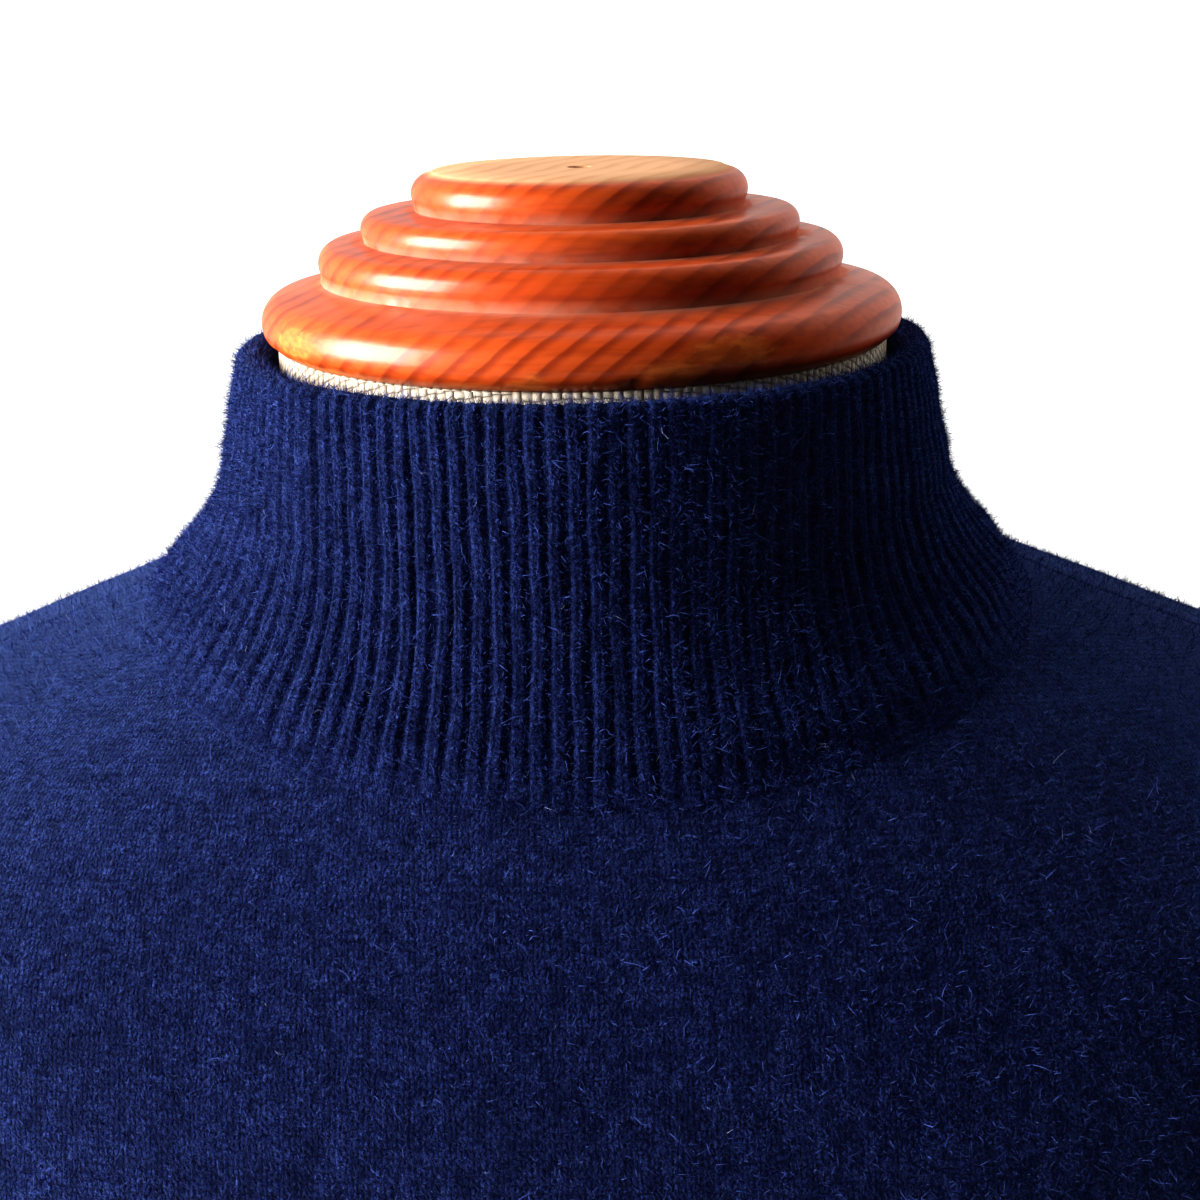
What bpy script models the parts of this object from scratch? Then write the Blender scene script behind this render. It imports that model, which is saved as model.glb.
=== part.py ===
"""Mock-neck sweater on a linen dress form with a stepped wooden neck cap and a short stand.

Units are metres and +Z is up. The front of the garment faces -Y, +X is the viewer's right,
and the origin is on the floor under the form's axis. Heights on the form are given as a
drop below the top of its neck, where the wooden cap sits. Angles turn about that axis from
+X: 90 degrees is the back, 180 the viewer's left and 270 the front.
"""

from collections import namedtuple
from math import cos, pi, radians, sin

import bmesh
import bpy
import numpy as np

# Stand and neck cap
BASE_RADIUS = 0.165
BASE_THICKNESS = 0.028
POLE_RADIUS = 0.018
NECK_HEIGHT = 1.080
FORM_BOTTOM_DROP = 0.720
CAP_THICKNESS = 0.0307
HOLE_RADIUS = 0.0023
HOLE_DEPTH = 0.009

# Knitted cloth
JERSEY = 0.0022
COLLAR = 0.0046
RIB_BAND = 0.0026
RIB_RELIEF = 0.0009
CLEARANCE = 0.0007
SEAM_GAP = 0.0003

# Drops of the garment's edges
SHOULDER_TIP = 0.0865
SLEEVE_HEAD_END = 0.2620
HEM_TOP = 0.5900
HEM_END = 0.6520
CUFF_TOP = 0.6120
CUFF_END = 0.6760

# Counts of ribs and of the columns in the plain walls
COLLAR_RIBS = 124
HEM_RIBS = 200
CUFF_RIBS = 50
PANEL_COLUMNS = 22
COLLAR_COLUMNS = 62
HEM_COLUMNS = 100
CUFF_COLUMNS = 26
FORM_COLUMNS = 24
TURNED_STEPS = 28

Section = namedtuple("Section", "drop half_width front back power")
FORM = [
    Section(0.0000, 0.0573, 0.0573, 0.0573, 2.00),
    Section(0.0120, 0.0574, 0.0574, 0.0578, 2.00),
    Section(0.0200, 0.0592, 0.0579, 0.0592, 2.00),
    Section(0.0260, 0.0611, 0.0588, 0.0610, 2.00),
    Section(0.0320, 0.0649, 0.0605, 0.0636, 2.00),
    Section(0.0380, 0.0699, 0.0631, 0.0668, 2.00),
    Section(0.0430, 0.0757, 0.0660, 0.0699, 2.00),
    Section(0.0475, 0.0825, 0.0690, 0.0730, 2.00),
    Section(0.0512, 0.0900, 0.0718, 0.0757, 2.02),
    Section(0.0560, 0.1013, 0.0757, 0.0793, 2.06),
    Section(0.0615, 0.1152, 0.0805, 0.0834, 2.10),
    Section(0.0675, 0.1296, 0.0857, 0.0878, 2.10),
    Section(0.0740, 0.1454, 0.0910, 0.0924, 2.10),
    Section(0.0805, 0.1610, 0.0958, 0.0966, 2.10),
    Section(0.0865, 0.1742, 0.0998, 0.1000, 2.12),
    Section(0.0960, 0.1815, 0.1050, 0.1045, 2.15),
    Section(0.1100, 0.1818, 0.1110, 0.1095, 2.20),
    Section(0.1350, 0.1765, 0.1195, 0.1150, 2.25),
    Section(0.1700, 0.1670, 0.1275, 0.1180, 2.30),
    Section(0.2100, 0.1570, 0.1325, 0.1150, 2.30),
    Section(0.2450, 0.1510, 0.1330, 0.1100, 2.30),
    Section(0.3100, 0.1410, 0.1200, 0.0970, 2.25),
    Section(0.3600, 0.1260, 0.1085, 0.0880, 2.20),
    Section(0.4000, 0.1190, 0.1030, 0.0850, 2.20),
    Section(0.4500, 0.1300, 0.1080, 0.0950, 2.20),
    Section(0.5200, 0.1530, 0.1150, 0.1120, 2.25),
    Section(0.5900, 0.1650, 0.1180, 0.1210, 2.30),
    Section(0.6500, 0.1660, 0.1170, 0.1210, 2.30),
    Section(0.7200, 0.1600, 0.1120, 0.1150, 2.30),
]

# How far cloth stands off the form, level with the floor
Ease = namedtuple("Ease", "drop side front back")
BODY_EASE = [
    Ease(0.000, 0.0000, 0.0000, 0.0000),
    Ease(0.060, 0.0000, 0.0000, 0.0000),
    Ease(0.090, 0.0018, 0.0008, 0.0010),
    Ease(0.120, 0.0032, 0.0012, 0.0018),
    Ease(0.180, 0.0060, 0.0018, 0.0034),
    Ease(0.245, 0.0120, 0.0020, 0.0080),
    Ease(0.320, 0.0210, 0.0100, 0.0180),
    Ease(0.400, 0.0400, 0.0260, 0.0340),
    Ease(0.470, 0.0320, 0.0250, 0.0290),
    Ease(0.540, 0.0150, 0.0210, 0.0190),
    Ease(0.590, 0.0085, 0.0165, 0.0135),
    Ease(0.652, 0.0055, 0.0130, 0.0110),
]
COLLAR_EASE = [
    Ease(0.000, 0.0012, 0.0016, 0.0012),
    Ease(0.006, 0.0023, 0.0024, 0.0018),
    Ease(0.013, 0.0037, 0.0030, 0.0020),
    Ease(0.020, 0.0036, 0.0036, 0.0020),
    Ease(0.028, 0.0024, 0.0036, 0.0016),
    Ease(0.036, 0.0011, 0.0031, 0.0010),
    Ease(0.044, 0.0002, 0.0022, 0.0003),
    Ease(0.047, 0.0000, 0.0017, 0.0000),
    Ease(0.063, 0.0000, 0.0000, 0.0000),
]

# Drops of the collar's seam and rim, round the neck
Neckline = namedtuple("Neckline", "angle seam rim")
NECKLINE = [
    Neckline(0, 0.0472, 0.0010),
    Neckline(45, 0.0500, 0.0008),
    Neckline(90, 0.0530, 0.0008),
    Neckline(135, 0.0500, 0.0008),
    Neckline(180, 0.0472, 0.0014),
    Neckline(205, 0.0502, 0.0014),
    Neckline(225, 0.0543, 0.0014),
    Neckline(248, 0.0600, 0.0013),
    Neckline(270, 0.0637, 0.0012),
    Neckline(292, 0.0600, 0.0011),
    Neckline(315, 0.0543, 0.0011),
    Neckline(335, 0.0502, 0.0010),
    Neckline(360, 0.0472, 0.0010),
]

# How far round from the side the armhole is cut into the front and the back
Armhole = namedtuple("Armhole", "drop front back")
ARMHOLE = [
    Armhole(0.0865, 0.0, 0.0),
    Armhole(0.0925, 8.5, 8.0),
    Armhole(0.1060, 18.0, 16.5),
    Armhole(0.1280, 25.0, 22.5),
    Armhole(0.1540, 28.5, 25.5),
    Armhole(0.1800, 29.5, 26.5),
    Armhole(0.2050, 27.5, 25.0),
    Armhole(0.2260, 22.0, 20.5),
    Armhole(0.2400, 12.5, 12.0),
    Armhole(0.2450, 0.0, 0.0),
]

# Soft folds pressed out of (+) or into (-) the body
Fold = namedtuple("Fold", "angle drop slant length width depth")
BODY_FOLDS = [
    Fold(204, 0.300, 0.50, 0.120, 0.017, 0.0060),
    Fold(219, 0.350, 0.42, 0.110, 0.017, -0.0050),
    Fold(336, 0.296, -0.50, 0.125, 0.017, 0.0056),
    Fold(322, 0.352, -0.40, 0.110, 0.017, -0.0050),
    Fold(233, 0.470, 0.10, 0.130, 0.020, 0.0058),
    Fold(254, 0.510, -0.05, 0.110, 0.019, -0.0048),
    Fold(289, 0.495, 0.05, 0.125, 0.020, 0.0054),
    Fold(309, 0.465, -0.12, 0.115, 0.019, -0.0046),
    Fold(157, 0.310, -0.45, 0.120, 0.017, 0.0056),
    Fold(142, 0.370, -0.30, 0.120, 0.018, -0.0060),
    Fold(23, 0.315, 0.45, 0.120, 0.017, 0.0056),
    Fold(38, 0.375, 0.30, 0.120, 0.018, -0.0060),
    Fold(72, 0.440, 0.05, 0.140, 0.022, 0.0070),
    Fold(104, 0.455, -0.06, 0.140, 0.022, 0.0066),
    Fold(88, 0.500, 0.00, 0.120, 0.019, -0.0055),
]

# The empty sleeve hangs beside the body as a flattened tube
Ring = namedtuple("Ring", "drop inner outer half_width centre")
SLEEVE = [
    Ring(0.2620, 0.1700, 0.2120, 0.0770, 0.000),
    Ring(0.3000, 0.1710, 0.2090, 0.0750, -0.001),
    Ring(0.3450, 0.1720, 0.2070, 0.0715, -0.003),
    Ring(0.3900, 0.1725, 0.2070, 0.0680, -0.006),
    Ring(0.4400, 0.1735, 0.2055, 0.0645, -0.009),
    Ring(0.4900, 0.1760, 0.2045, 0.0610, -0.012),
    Ring(0.5400, 0.1790, 0.2050, 0.0575, -0.014),
    Ring(0.5800, 0.1800, 0.2050, 0.0550, -0.015),
    Ring(0.6120, 0.1815, 0.2035, 0.0490, -0.016),
    Ring(0.6300, 0.1820, 0.2025, 0.0465, -0.016),
    Ring(0.6760, 0.1825, 0.2020, 0.0455, -0.017),
]
SLEEVE_POWER = 2.3

# Creases of a sleeve: 0 is its outer side, 90 its front edge, 180 the side near the body
SLEEVE_FOLDS = [
    Fold(40, 0.305, 0.60, 0.110, 0.016, 0.0048),
    Fold(-35, 0.330, -0.50, 0.110, 0.016, -0.0046),
    Fold(30, 0.395, -0.60, 0.090, 0.014, -0.0050),
    Fold(-30, 0.415, 0.60, 0.090, 0.014, 0.0045),
    Fold(25, 0.455, 0.50, 0.090, 0.014, 0.0042),
    Fold(-20, 0.520, -0.40, 0.090, 0.014, -0.0036),
    Fold(35, 0.560, 0.30, 0.070, 0.013, -0.0034),
]

# Steps of the turned cap: the widest radius of each rounded step and its height there
CapStep = namedtuple("CapStep", "radius height round foot_radius foot_height")
CAP_STEPS = [
    CapStep(0.0600, 0.0043, 0.0052, 0.0575, 0.0000),
    CapStep(0.0490, 0.0146, 0.0036, 0.0487, 0.0112),
    CapStep(0.0409, 0.0206, 0.0029, 0.0404, 0.0183),
    CapStep(0.0313, 0.0266, 0.0036, 0.0307, 0.0236),
]
CAP_TOP_RADIUS = 0.0270

Finish = namedtuple("Finish", "colour roughness")
NAVY = Finish((0.020, 0.036, 0.150, 1.0), 0.95)
LINEN = Finish((0.500, 0.450, 0.360, 1.0), 0.90)
VARNISHED_WOOD = Finish((0.520, 0.130, 0.035, 1.0), 0.30)


def clear_scene():
    for obj in list(bpy.data.objects):
        bpy.data.objects.remove(obj, do_unlink=True)


def material(name, finish):
    made = bpy.data.materials.new(name)
    made.use_nodes = True
    shader = made.node_tree.nodes["Principled BSDF"]
    shader.inputs["Base Color"].default_value = finish.colour
    shader.inputs["Roughness"].default_value = finish.roughness
    shader.inputs["Metallic"].default_value = 0.0
    return made


def smooth_through(rows, key, column):
    """A cubic that never overshoots through one column of a table, as a function of its key."""
    x = np.array([getattr(row, key) for row in rows], dtype=float)
    y = np.array([getattr(row, column) for row in rows], dtype=float)
    step = np.diff(x)
    rise = np.diff(y) / step
    same_way = rise[:-1] * rise[1:] > 0
    total = np.where(same_way, rise[:-1] + rise[1:], 1.0)
    slope = np.concatenate([rise[:1], np.where(same_way, 2 * rise[:-1] * rise[1:] / total, 0.0), rise[-1:]])

    def at(value):
        wanted = np.clip(value, x[0], x[-1])
        i = np.clip(np.searchsorted(x, wanted, side="right") - 1, 0, len(step) - 1)
        t = (wanted - x[i]) / step[i]
        return (
            y[i] * (1 + 2 * t) * (1 - t) ** 2
            + y[i + 1] * t * t * (3 - 2 * t)
            + step[i] * (slope[i] * t * (1 - t) ** 2 - slope[i + 1] * t * t * (1 - t))
        )

    return at


form_width, form_front, form_back, form_power = (
    smooth_through(FORM, "drop", column) for column in ("half_width", "front", "back", "power")
)
body_side, body_front, body_back = (
    smooth_through(BODY_EASE, "drop", column) for column in ("side", "front", "back")
)
collar_side, collar_front, collar_back = (
    smooth_through(COLLAR_EASE, "drop", column) for column in ("side", "front", "back")
)
seam_drop, rim_drop = (smooth_through(NECKLINE, "angle", column) for column in ("seam", "rim"))
sleeve_inner, sleeve_outer, sleeve_half_width, sleeve_centre = (
    smooth_through(SLEEVE, "drop", column) for column in ("inner", "outer", "half_width", "centre")
)


def signed_power(base, power):
    return np.sign(base) * np.abs(base) ** power


def section_point(angle, drop, side, front, back):
    """Points of a level section of the form, let out by the given ease, with angle in radians."""
    depth = np.where(np.sin(angle) < 0, form_front(drop) + front, form_back(drop) + back)
    round_off = 2 / form_power(drop)
    x = (form_width(drop) + side) * signed_power(np.cos(angle), round_off)
    y = depth * signed_power(np.sin(angle), round_off)
    return np.stack([x, y, NECK_HEIGHT - drop + 0 * x], axis=-1)


def form_point(angle, drop):
    return section_point(angle, drop, 0, 0, 0)


def collar_point(angle, drop):
    return section_point(angle, drop, collar_side(drop), collar_front(drop), collar_back(drop))


def fold_relief(folds, degrees, drop, radius):
    """The sum of soft folds, each a ridge or trough that fades out along its own line."""
    relief = 0 * degrees + 0 * drop
    for fold in folds:
        across = radians(1) * ((degrees - fold.angle + 180) % 360 - 180) * radius
        down = drop - fold.drop
        beside = across - fold.slant * down
        relief = relief + fold.depth * np.exp(
            -((beside / fold.width) ** 2) - (2 * down / fold.length) ** 2
        )
    return relief


def body_point(angle, drop):
    relief = fold_relief(BODY_FOLDS, np.degrees(angle), drop, form_width(0.300))
    return section_point(
        angle, drop, body_side(drop) + relief, body_front(drop) + relief, body_back(drop) + relief
    )


def outward(surface, angle, drop):
    """Unit normals of a surface given by angle and drop, by central differences."""
    turn = 0.004
    fall = 0.0004
    across = surface(angle + turn, drop) - surface(angle - turn, drop)
    down = surface(angle, drop + fall) - surface(angle, np.maximum(drop - fall, 0.0))
    normal = np.cross(down, across)
    return normal / np.linalg.norm(normal, axis=-1, keepdims=True)


def offset(surface, angle, drop, distance):
    return surface(angle, drop) + outward(surface, angle, drop) * np.expand_dims(distance, -1)


def around(count):
    return np.arange(count) * 2 * pi / count


def add_grid(mesh, rows, closed):
    """Vertices and quads of a grid of points, whose rows are closed rings or open lines."""
    verts = [[mesh.verts.new(point) for point in row] for row in rows]
    for lower, upper in zip(verts, verts[1:]):
        zip_lines(mesh, lower, upper, closed)
    return verts


def zip_lines(mesh, first, second, closed):
    """Quads and triangles between two lines of vertices that may differ in number."""
    one = list(first) + list(first[:1]) * closed
    two = list(second) + list(second[:1]) * closed
    i = j = 0
    while i < len(one) - 1 or j < len(two) - 1:
        next_one = (i + 1) / (len(one) - 1)
        next_two = (j + 1) / (len(two) - 1)
        if abs(next_one - next_two) < 1e-9:
            mesh.faces.new((one[i], one[i + 1], two[j + 1], two[j]))
            i, j = i + 1, j + 1
        elif next_one < next_two:
            mesh.faces.new((one[i], one[i + 1], two[j]))
            i += 1
        else:
            mesh.faces.new((one[i], two[j + 1], two[j]))
            j += 1


def finish_solid(name, finish, mesh):
    bmesh.ops.recalc_face_normals(mesh, faces=mesh.faces)
    if mesh.calc_volume(signed=True) < 0:
        bmesh.ops.reverse_faces(mesh, faces=mesh.faces)
    data = bpy.data.meshes.new(name)
    mesh.to_mesh(data)
    mesh.free()
    data.shade_smooth()
    data.set_sharp_from_angle(angle=radians(40))
    data.materials.append(finish)
    obj = bpy.data.objects.new(name, data)
    bpy.context.scene.collection.objects.link(obj)
    return obj


def wall(name, finish, outer, inner, closed):
    """A cloth wall from the rows of its outer and inner faces, both from the bottom upward."""
    mesh = bmesh.new()
    out = add_grid(mesh, outer, closed)
    back = add_grid(mesh, inner, closed)
    zip_lines(mesh, out[0], back[0], closed)
    zip_lines(mesh, out[-1], back[-1], closed)
    if not closed:
        zip_lines(mesh, [row[0] for row in out], [row[0] for row in back], False)
        zip_lines(mesh, [row[-1] for row in out], [row[-1] for row in back], False)
    return finish_solid(name, finish, mesh)


def turned(name, finish, profile):
    """A turned solid, from a profile of (radius, height) down its outer side, axis to axis."""
    data = bpy.data.meshes.new(name)
    points = [(radius, 0.0, height) for radius, height in profile]
    data.from_pydata(points, [(k, k + 1) for k in range(len(points) - 1)], [])
    data.materials.append(finish)
    obj = bpy.data.objects.new(name, data)
    bpy.context.scene.collection.objects.link(obj)
    screw = obj.modifiers.new("Turning", "SCREW")
    screw.steps = screw.render_steps = TURNED_STEPS
    screw.use_merge_vertices = True
    screw.merge_threshold = 0.00005
    screw.use_smooth_shade = True
    return obj


def arc(centre_radius, centre_height, radius, start, end, pieces):
    """Profile points along an arc, from one angle to another in degrees above outward."""
    angles = [radians(start + (end - start) * k / pieces) for k in range(pieces + 1)]
    return [(centre_radius + radius * cos(a), centre_height + radius * sin(a)) for a in angles]


def make_base(wood):
    edge = 0.008
    boss_radius = 0.034
    profile = [(0.0, BASE_THICKNESS + 0.012), (boss_radius - 0.006, BASE_THICKNESS + 0.012)]
    profile += arc(boss_radius - 0.006, BASE_THICKNESS + 0.006, 0.006, 60, 0, 2)
    profile += [(boss_radius, BASE_THICKNESS)]
    profile += arc(BASE_RADIUS - edge, BASE_THICKNESS - edge, edge, 90, 0, 3)
    profile += [(BASE_RADIUS, 0.003), (BASE_RADIUS - 0.003, 0.0), (0.0, 0.0)]
    return turned("stand_base", wood, profile)


def make_pole(wood):
    bottom = BASE_THICKNESS + 0.012 + SEAM_GAP
    top = NECK_HEIGHT - FORM_BOTTOM_DROP - SEAM_GAP
    ring = 0.006
    profile = [(0.0, top), (0.030, top), (0.030, top - 0.010)]
    profile += [(POLE_RADIUS, top - 0.022), (POLE_RADIUS, bottom + 0.030)]
    profile += arc(POLE_RADIUS, bottom + 0.022, ring, 70, -70, 4)
    profile += [(POLE_RADIUS + 0.003, bottom), (0.0, bottom)]
    return turned("stand_pole", wood, profile)


def make_form(linen):
    """The padded body, closed by a flat face under the cap and another over the pole."""
    drops = [row.drop for row in FORM[:-1]]
    ring = around(FORM_COLUMNS)
    mesh = bmesh.new()
    rows = [form_point(ring, np.full(FORM_COLUMNS, drop)) for drop in drops]
    last = form_point(ring, np.full(FORM_COLUMNS, FORM_BOTTOM_DROP))
    tuck = 0.94
    rows += [last + np.array([0, 0, 0.006]), last * np.array([tuck, tuck, 1.0])]
    verts = add_grid(mesh, rows, True)
    mesh.faces.new(verts[0])
    mesh.faces.new(verts[-1])
    return finish_solid("dress_form", linen, mesh)


def make_cap(wood):
    """Four rounded steps, a bare flat top and the blind hole that once held a finial."""
    floor = NECK_HEIGHT + SEAM_GAP
    profile = [(0.0, CAP_THICKNESS - HOLE_DEPTH), (HOLE_RADIUS, CAP_THICKNESS - HOLE_DEPTH)]
    profile += [(HOLE_RADIUS, CAP_THICKNESS), (CAP_TOP_RADIUS, CAP_THICKNESS)]
    for step in reversed(CAP_STEPS):
        profile += arc(step.radius - step.round, step.height, step.round, 66, -28, 3)
        profile += [(step.foot_radius, step.foot_height)]
    profile += [(0.0, 0.0)]
    return turned("neck_cap", wood, [(radius, floor + height) for radius, height in profile])


def neck_trim(angle):
    """The seam's drop where the collar ends, with angle in radians."""
    return seam_drop(np.degrees(angle) % 360)


def collar_drop(angle, height):
    """The drop at a share of the way from the collar's seam up to where its fold starts."""
    low = neck_trim(angle) - SEAM_GAP
    high = rim_drop(np.degrees(angle) % 360) + COLLAR / 2
    return low + (high - low) * height


def evenly_round(count, height):
    """Angles from the back that space columns evenly round the collar at one height.
    Its ribs run straight down over the front and fan out over the shoulders."""
    turn = np.linspace(pi / 2, 5 * pi / 2, 721)
    ring = collar_point(turn, collar_drop(turn, height))
    steps = np.linalg.norm(np.diff(ring, axis=0), axis=1)
    along = np.concatenate([[0.0], np.cumsum(steps)])
    return np.interp(np.arange(count) * along[-1] / count, along, turn)


def make_collar(knit):
    """The doubled rib band: ribs outside, a rounded fold at the rim and a plain inside."""
    ridge = RIB_RELIEF * (np.arange(2 * COLLAR_RIBS) % 2 == 0)
    fold_radius = COLLAR / 2
    fold_sides = {40: 1, 85: 2}

    def thickness(height):
        return COLLAR * (0.74 + 0.26 * min(1.0, height / 0.2))

    outer = []
    for height in (0.0, 0.16, 0.42, 0.72, 1.0):
        columns = evenly_round(2 * COLLAR_RIBS, height)
        stand = CLEARANCE + thickness(height) + ridge
        outer.append(offset(collar_point, columns, collar_drop(columns, height), stand))
    for tilt, skip in fold_sides.items():
        ring = columns[::skip]
        drop = collar_drop(ring, 1.0)
        normal = outward(collar_point, ring, drop)
        reach = CLEARANCE + fold_radius + (fold_radius + ridge[::skip]) * cos(radians(tilt))
        point = collar_point(ring, drop) + normal * reach[:, None]
        outer.append(point + np.array([0, 0, fold_radius * sin(radians(tilt))]))
    inner = []
    for height in (0.0, 0.3, 0.65, 1.0):
        plain = evenly_round(COLLAR_COLUMNS, height)
        drop = collar_drop(plain, height)
        inner.append(offset(collar_point, plain, drop, np.full(COLLAR_COLUMNS, CLEARANCE)))
    normal = outward(collar_point, plain, drop)
    lean = CLEARANCE + fold_radius * (1 - cos(radians(45)))
    lift = np.array([0, 0, fold_radius * sin(radians(45))])
    inner.append(collar_point(plain, drop) + normal * lean + lift)
    return wall("collar", knit, outer, inner, True)


def panel_grid(front, distance):
    """Rows of a front or back panel at one distance from the form, from the hem upward."""
    start, cut = (pi, "front") if front else (0.0, "back")
    share = np.linspace(0.0, 1.0, PANEL_COLUMNS + 1)
    yoke = [0.0, 0.22, 0.48, 0.76]
    flank = [0.2700, 0.3000, 0.3320, 0.3660, 0.4040, 0.4440, 0.4900, 0.5400]
    rows = []
    for height in yoke:
        angle = start + share * pi
        neck = neck_trim(angle) + SEAM_GAP
        rows.append((angle, neck + (SHOULDER_TIP - neck) * height))
    for row in ARMHOLE:
        inset = radians(getattr(row, cut))
        rows.append((start + inset + share * (pi - 2 * inset), np.full(len(share), row.drop)))
    for drop in flank + [HEM_TOP - SEAM_GAP / 2]:
        rows.append((start + share * pi, np.full(len(share), drop)))
    grid = [offset(body_point, angle, drop, np.full(len(share), distance)) for angle, drop in rows]
    for row in grid:
        row[0] += np.sign(row[1] - row[0]) * np.array([0, SEAM_GAP / 2, 0])
        row[-1] += np.sign(row[-2] - row[-1]) * np.array([0, SEAM_GAP / 2, 0])
    return grid[::-1]


def make_panel(name, knit, front):
    return wall(
        name, knit, panel_grid(front, CLEARANCE + JERSEY), panel_grid(front, CLEARANCE), False
    )


def make_hem(knit):
    """The hem's rib band, ribbed outside over a plain inside."""
    columns = around(2 * HEM_RIBS)
    ridge = RIB_RELIEF * (np.arange(2 * HEM_RIBS) % 2 == 0)
    plain = around(HEM_COLUMNS)

    def row(angle, drop, distance):
        return offset(body_point, angle, np.full(len(angle), drop), distance + 0 * angle)

    drops = [HEM_END, HEM_TOP + SEAM_GAP / 2]
    outer = [row(columns, drop, CLEARANCE + RIB_BAND + ridge) for drop in drops]
    inner = [row(plain, drop, CLEARANCE) for drop in drops]
    return wall("hem_rib", knit, outer, inner, True)


def sleeve_ring(turn, drop, inset):
    """A ring of the hanging sleeve, turned from its outer side over the front edge."""
    relief = fold_relief(SLEEVE_FOLDS, np.degrees(turn), drop, 0.045) - inset
    inner = sleeve_inner(drop) + inset
    outer = sleeve_outer(drop) + relief
    round_off = 2 / SLEEVE_POWER
    x = (inner + outer) / 2 + (outer - inner) / 2 * signed_power(np.cos(turn), round_off)
    y = sleeve_centre(drop) - (sleeve_half_width(drop) - inset) * signed_power(np.sin(turn), round_off)
    return np.stack([x, y, NECK_HEIGHT - drop + 0 * x], axis=-1)


def armhole_ring(distance):
    """The armhole's edge at a distance off the form, from the shoulder down the front and back up."""
    down = [(2 * pi - radians(row.front), row.drop) for row in ARMHOLE]
    up = [(radians(row.back), row.drop) for row in ARMHOLE[-2:0:-1]]
    angle, drop = np.array(down + up).T
    ring = offset(body_point, angle, drop, np.full(len(angle), distance))
    normal = outward(body_point, angle, drop)
    along = np.roll(ring, -1, axis=0) - np.roll(ring, 1, axis=0)
    away = np.cross(normal, along)
    away /= np.linalg.norm(away, axis=1, keepdims=True)
    inward = ring.mean(axis=0) - ring
    away *= np.sign((away * inward).sum(axis=1))[:, None]
    return ring + away * SEAM_GAP, away


def sleeve_face():
    """The outer face of a right sleeve from the cuff upward: a hanging tube, then its head."""
    edge, away = armhole_ring(CLEARANCE + JERSEY)
    count = len(edge)
    turn = around(count)
    drops = [row.drop for row in SLEEVE if SLEEVE_HEAD_END < row.drop < CUFF_TOP]
    drops = [SLEEVE_HEAD_END] + drops + [CUFF_TOP - SEAM_GAP / 2]
    rows = [sleeve_ring(turn, np.full(count, drop), 0.0) for drop in reversed(drops)]
    hang = rows[-1]
    reach = np.linalg.norm(hang - edge, axis=1)[:, None]
    leave = away * reach * 0.9
    arrive = np.array([0, 0, -0.9]) * reach
    for t in (0.84, 0.66, 0.46, 0.28, 0.12, 0.0):
        rows.append(
            edge * (1 + 2 * t) * (1 - t) ** 2
            + hang * t * t * (3 - 2 * t)
            + leave * t * (1 - t) ** 2
            - arrive * t * t * (1 - t)
        )
    return np.array(rows)


def sleeve_lining(face):
    """The sleeve's inner face, one thickness in from its outer face and level at the cuff."""
    across = np.roll(face, -1, axis=1) - np.roll(face, 1, axis=1)
    upward = np.gradient(face, axis=0)
    normal = np.cross(across, upward)
    normal /= np.linalg.norm(normal, axis=2, keepdims=True)
    outward_sum = (normal[0] * (face[0] - face[0].mean(axis=0))).sum()
    inner = face - normal * JERSEY * np.sign(outward_sum)
    inner[0, :, 2] = face[0, :, 2]
    inner[-1] = armhole_ring(CLEARANCE)[0]
    return inner


def mirrored(rows, side):
    return [row * np.array([side, 1, 1]) for row in rows]


def make_sleeve(name, knit, side):
    face = sleeve_face()
    return wall(name, knit, mirrored(face, side), mirrored(sleeve_lining(face), side), True)


def make_cuff(name, knit, side):
    columns = around(2 * CUFF_RIBS)
    groove = RIB_RELIEF * (np.arange(2 * CUFF_RIBS) % 2 == 1)
    plain = around(CUFF_COLUMNS)
    drops = [CUFF_END, CUFF_TOP + SEAM_GAP / 2]
    outer = [sleeve_ring(columns, np.full(len(columns), drop), groove) for drop in drops]
    inner = [sleeve_ring(plain, np.full(len(plain), drop), RIB_BAND + RIB_RELIEF) for drop in drops]
    return wall(name, knit, mirrored(outer, side), mirrored(inner, side), True)


clear_scene()
navy_knit = material("navy cashmere knit", NAVY)
linen_cover = material("linen cover", LINEN)
varnished_wood = material("varnished wood", VARNISHED_WOOD)
make_base(varnished_wood)
make_pole(varnished_wood)
make_form(linen_cover)
make_cap(varnished_wood)
make_panel("sweater_front", navy_knit, True)
make_panel("sweater_back", navy_knit, False)
make_collar(navy_knit)
make_hem(navy_knit)
for label, side in (("left", -1), ("right", 1)):
    make_sleeve(f"sleeve_{label}", navy_knit, side)
    make_cuff(f"cuff_{label}", navy_knit, side)
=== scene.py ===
"""A navy mock-neck sweater of brushed cashmere, on a linen dress form with a turned wooden neck cap.

Units are metres, +Z is up and the sweater's front faces -Y. Heights on the form are given as a
drop below the top of its neck. Angles turn about the form's axis from +X: 90 degrees is the back,
180 the viewer's left and 270 the front.
"""

from collections import namedtuple
from math import cos, pi, radians, sin

import bpy
import numpy as np
from mathutils import Matrix, Vector


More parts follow.
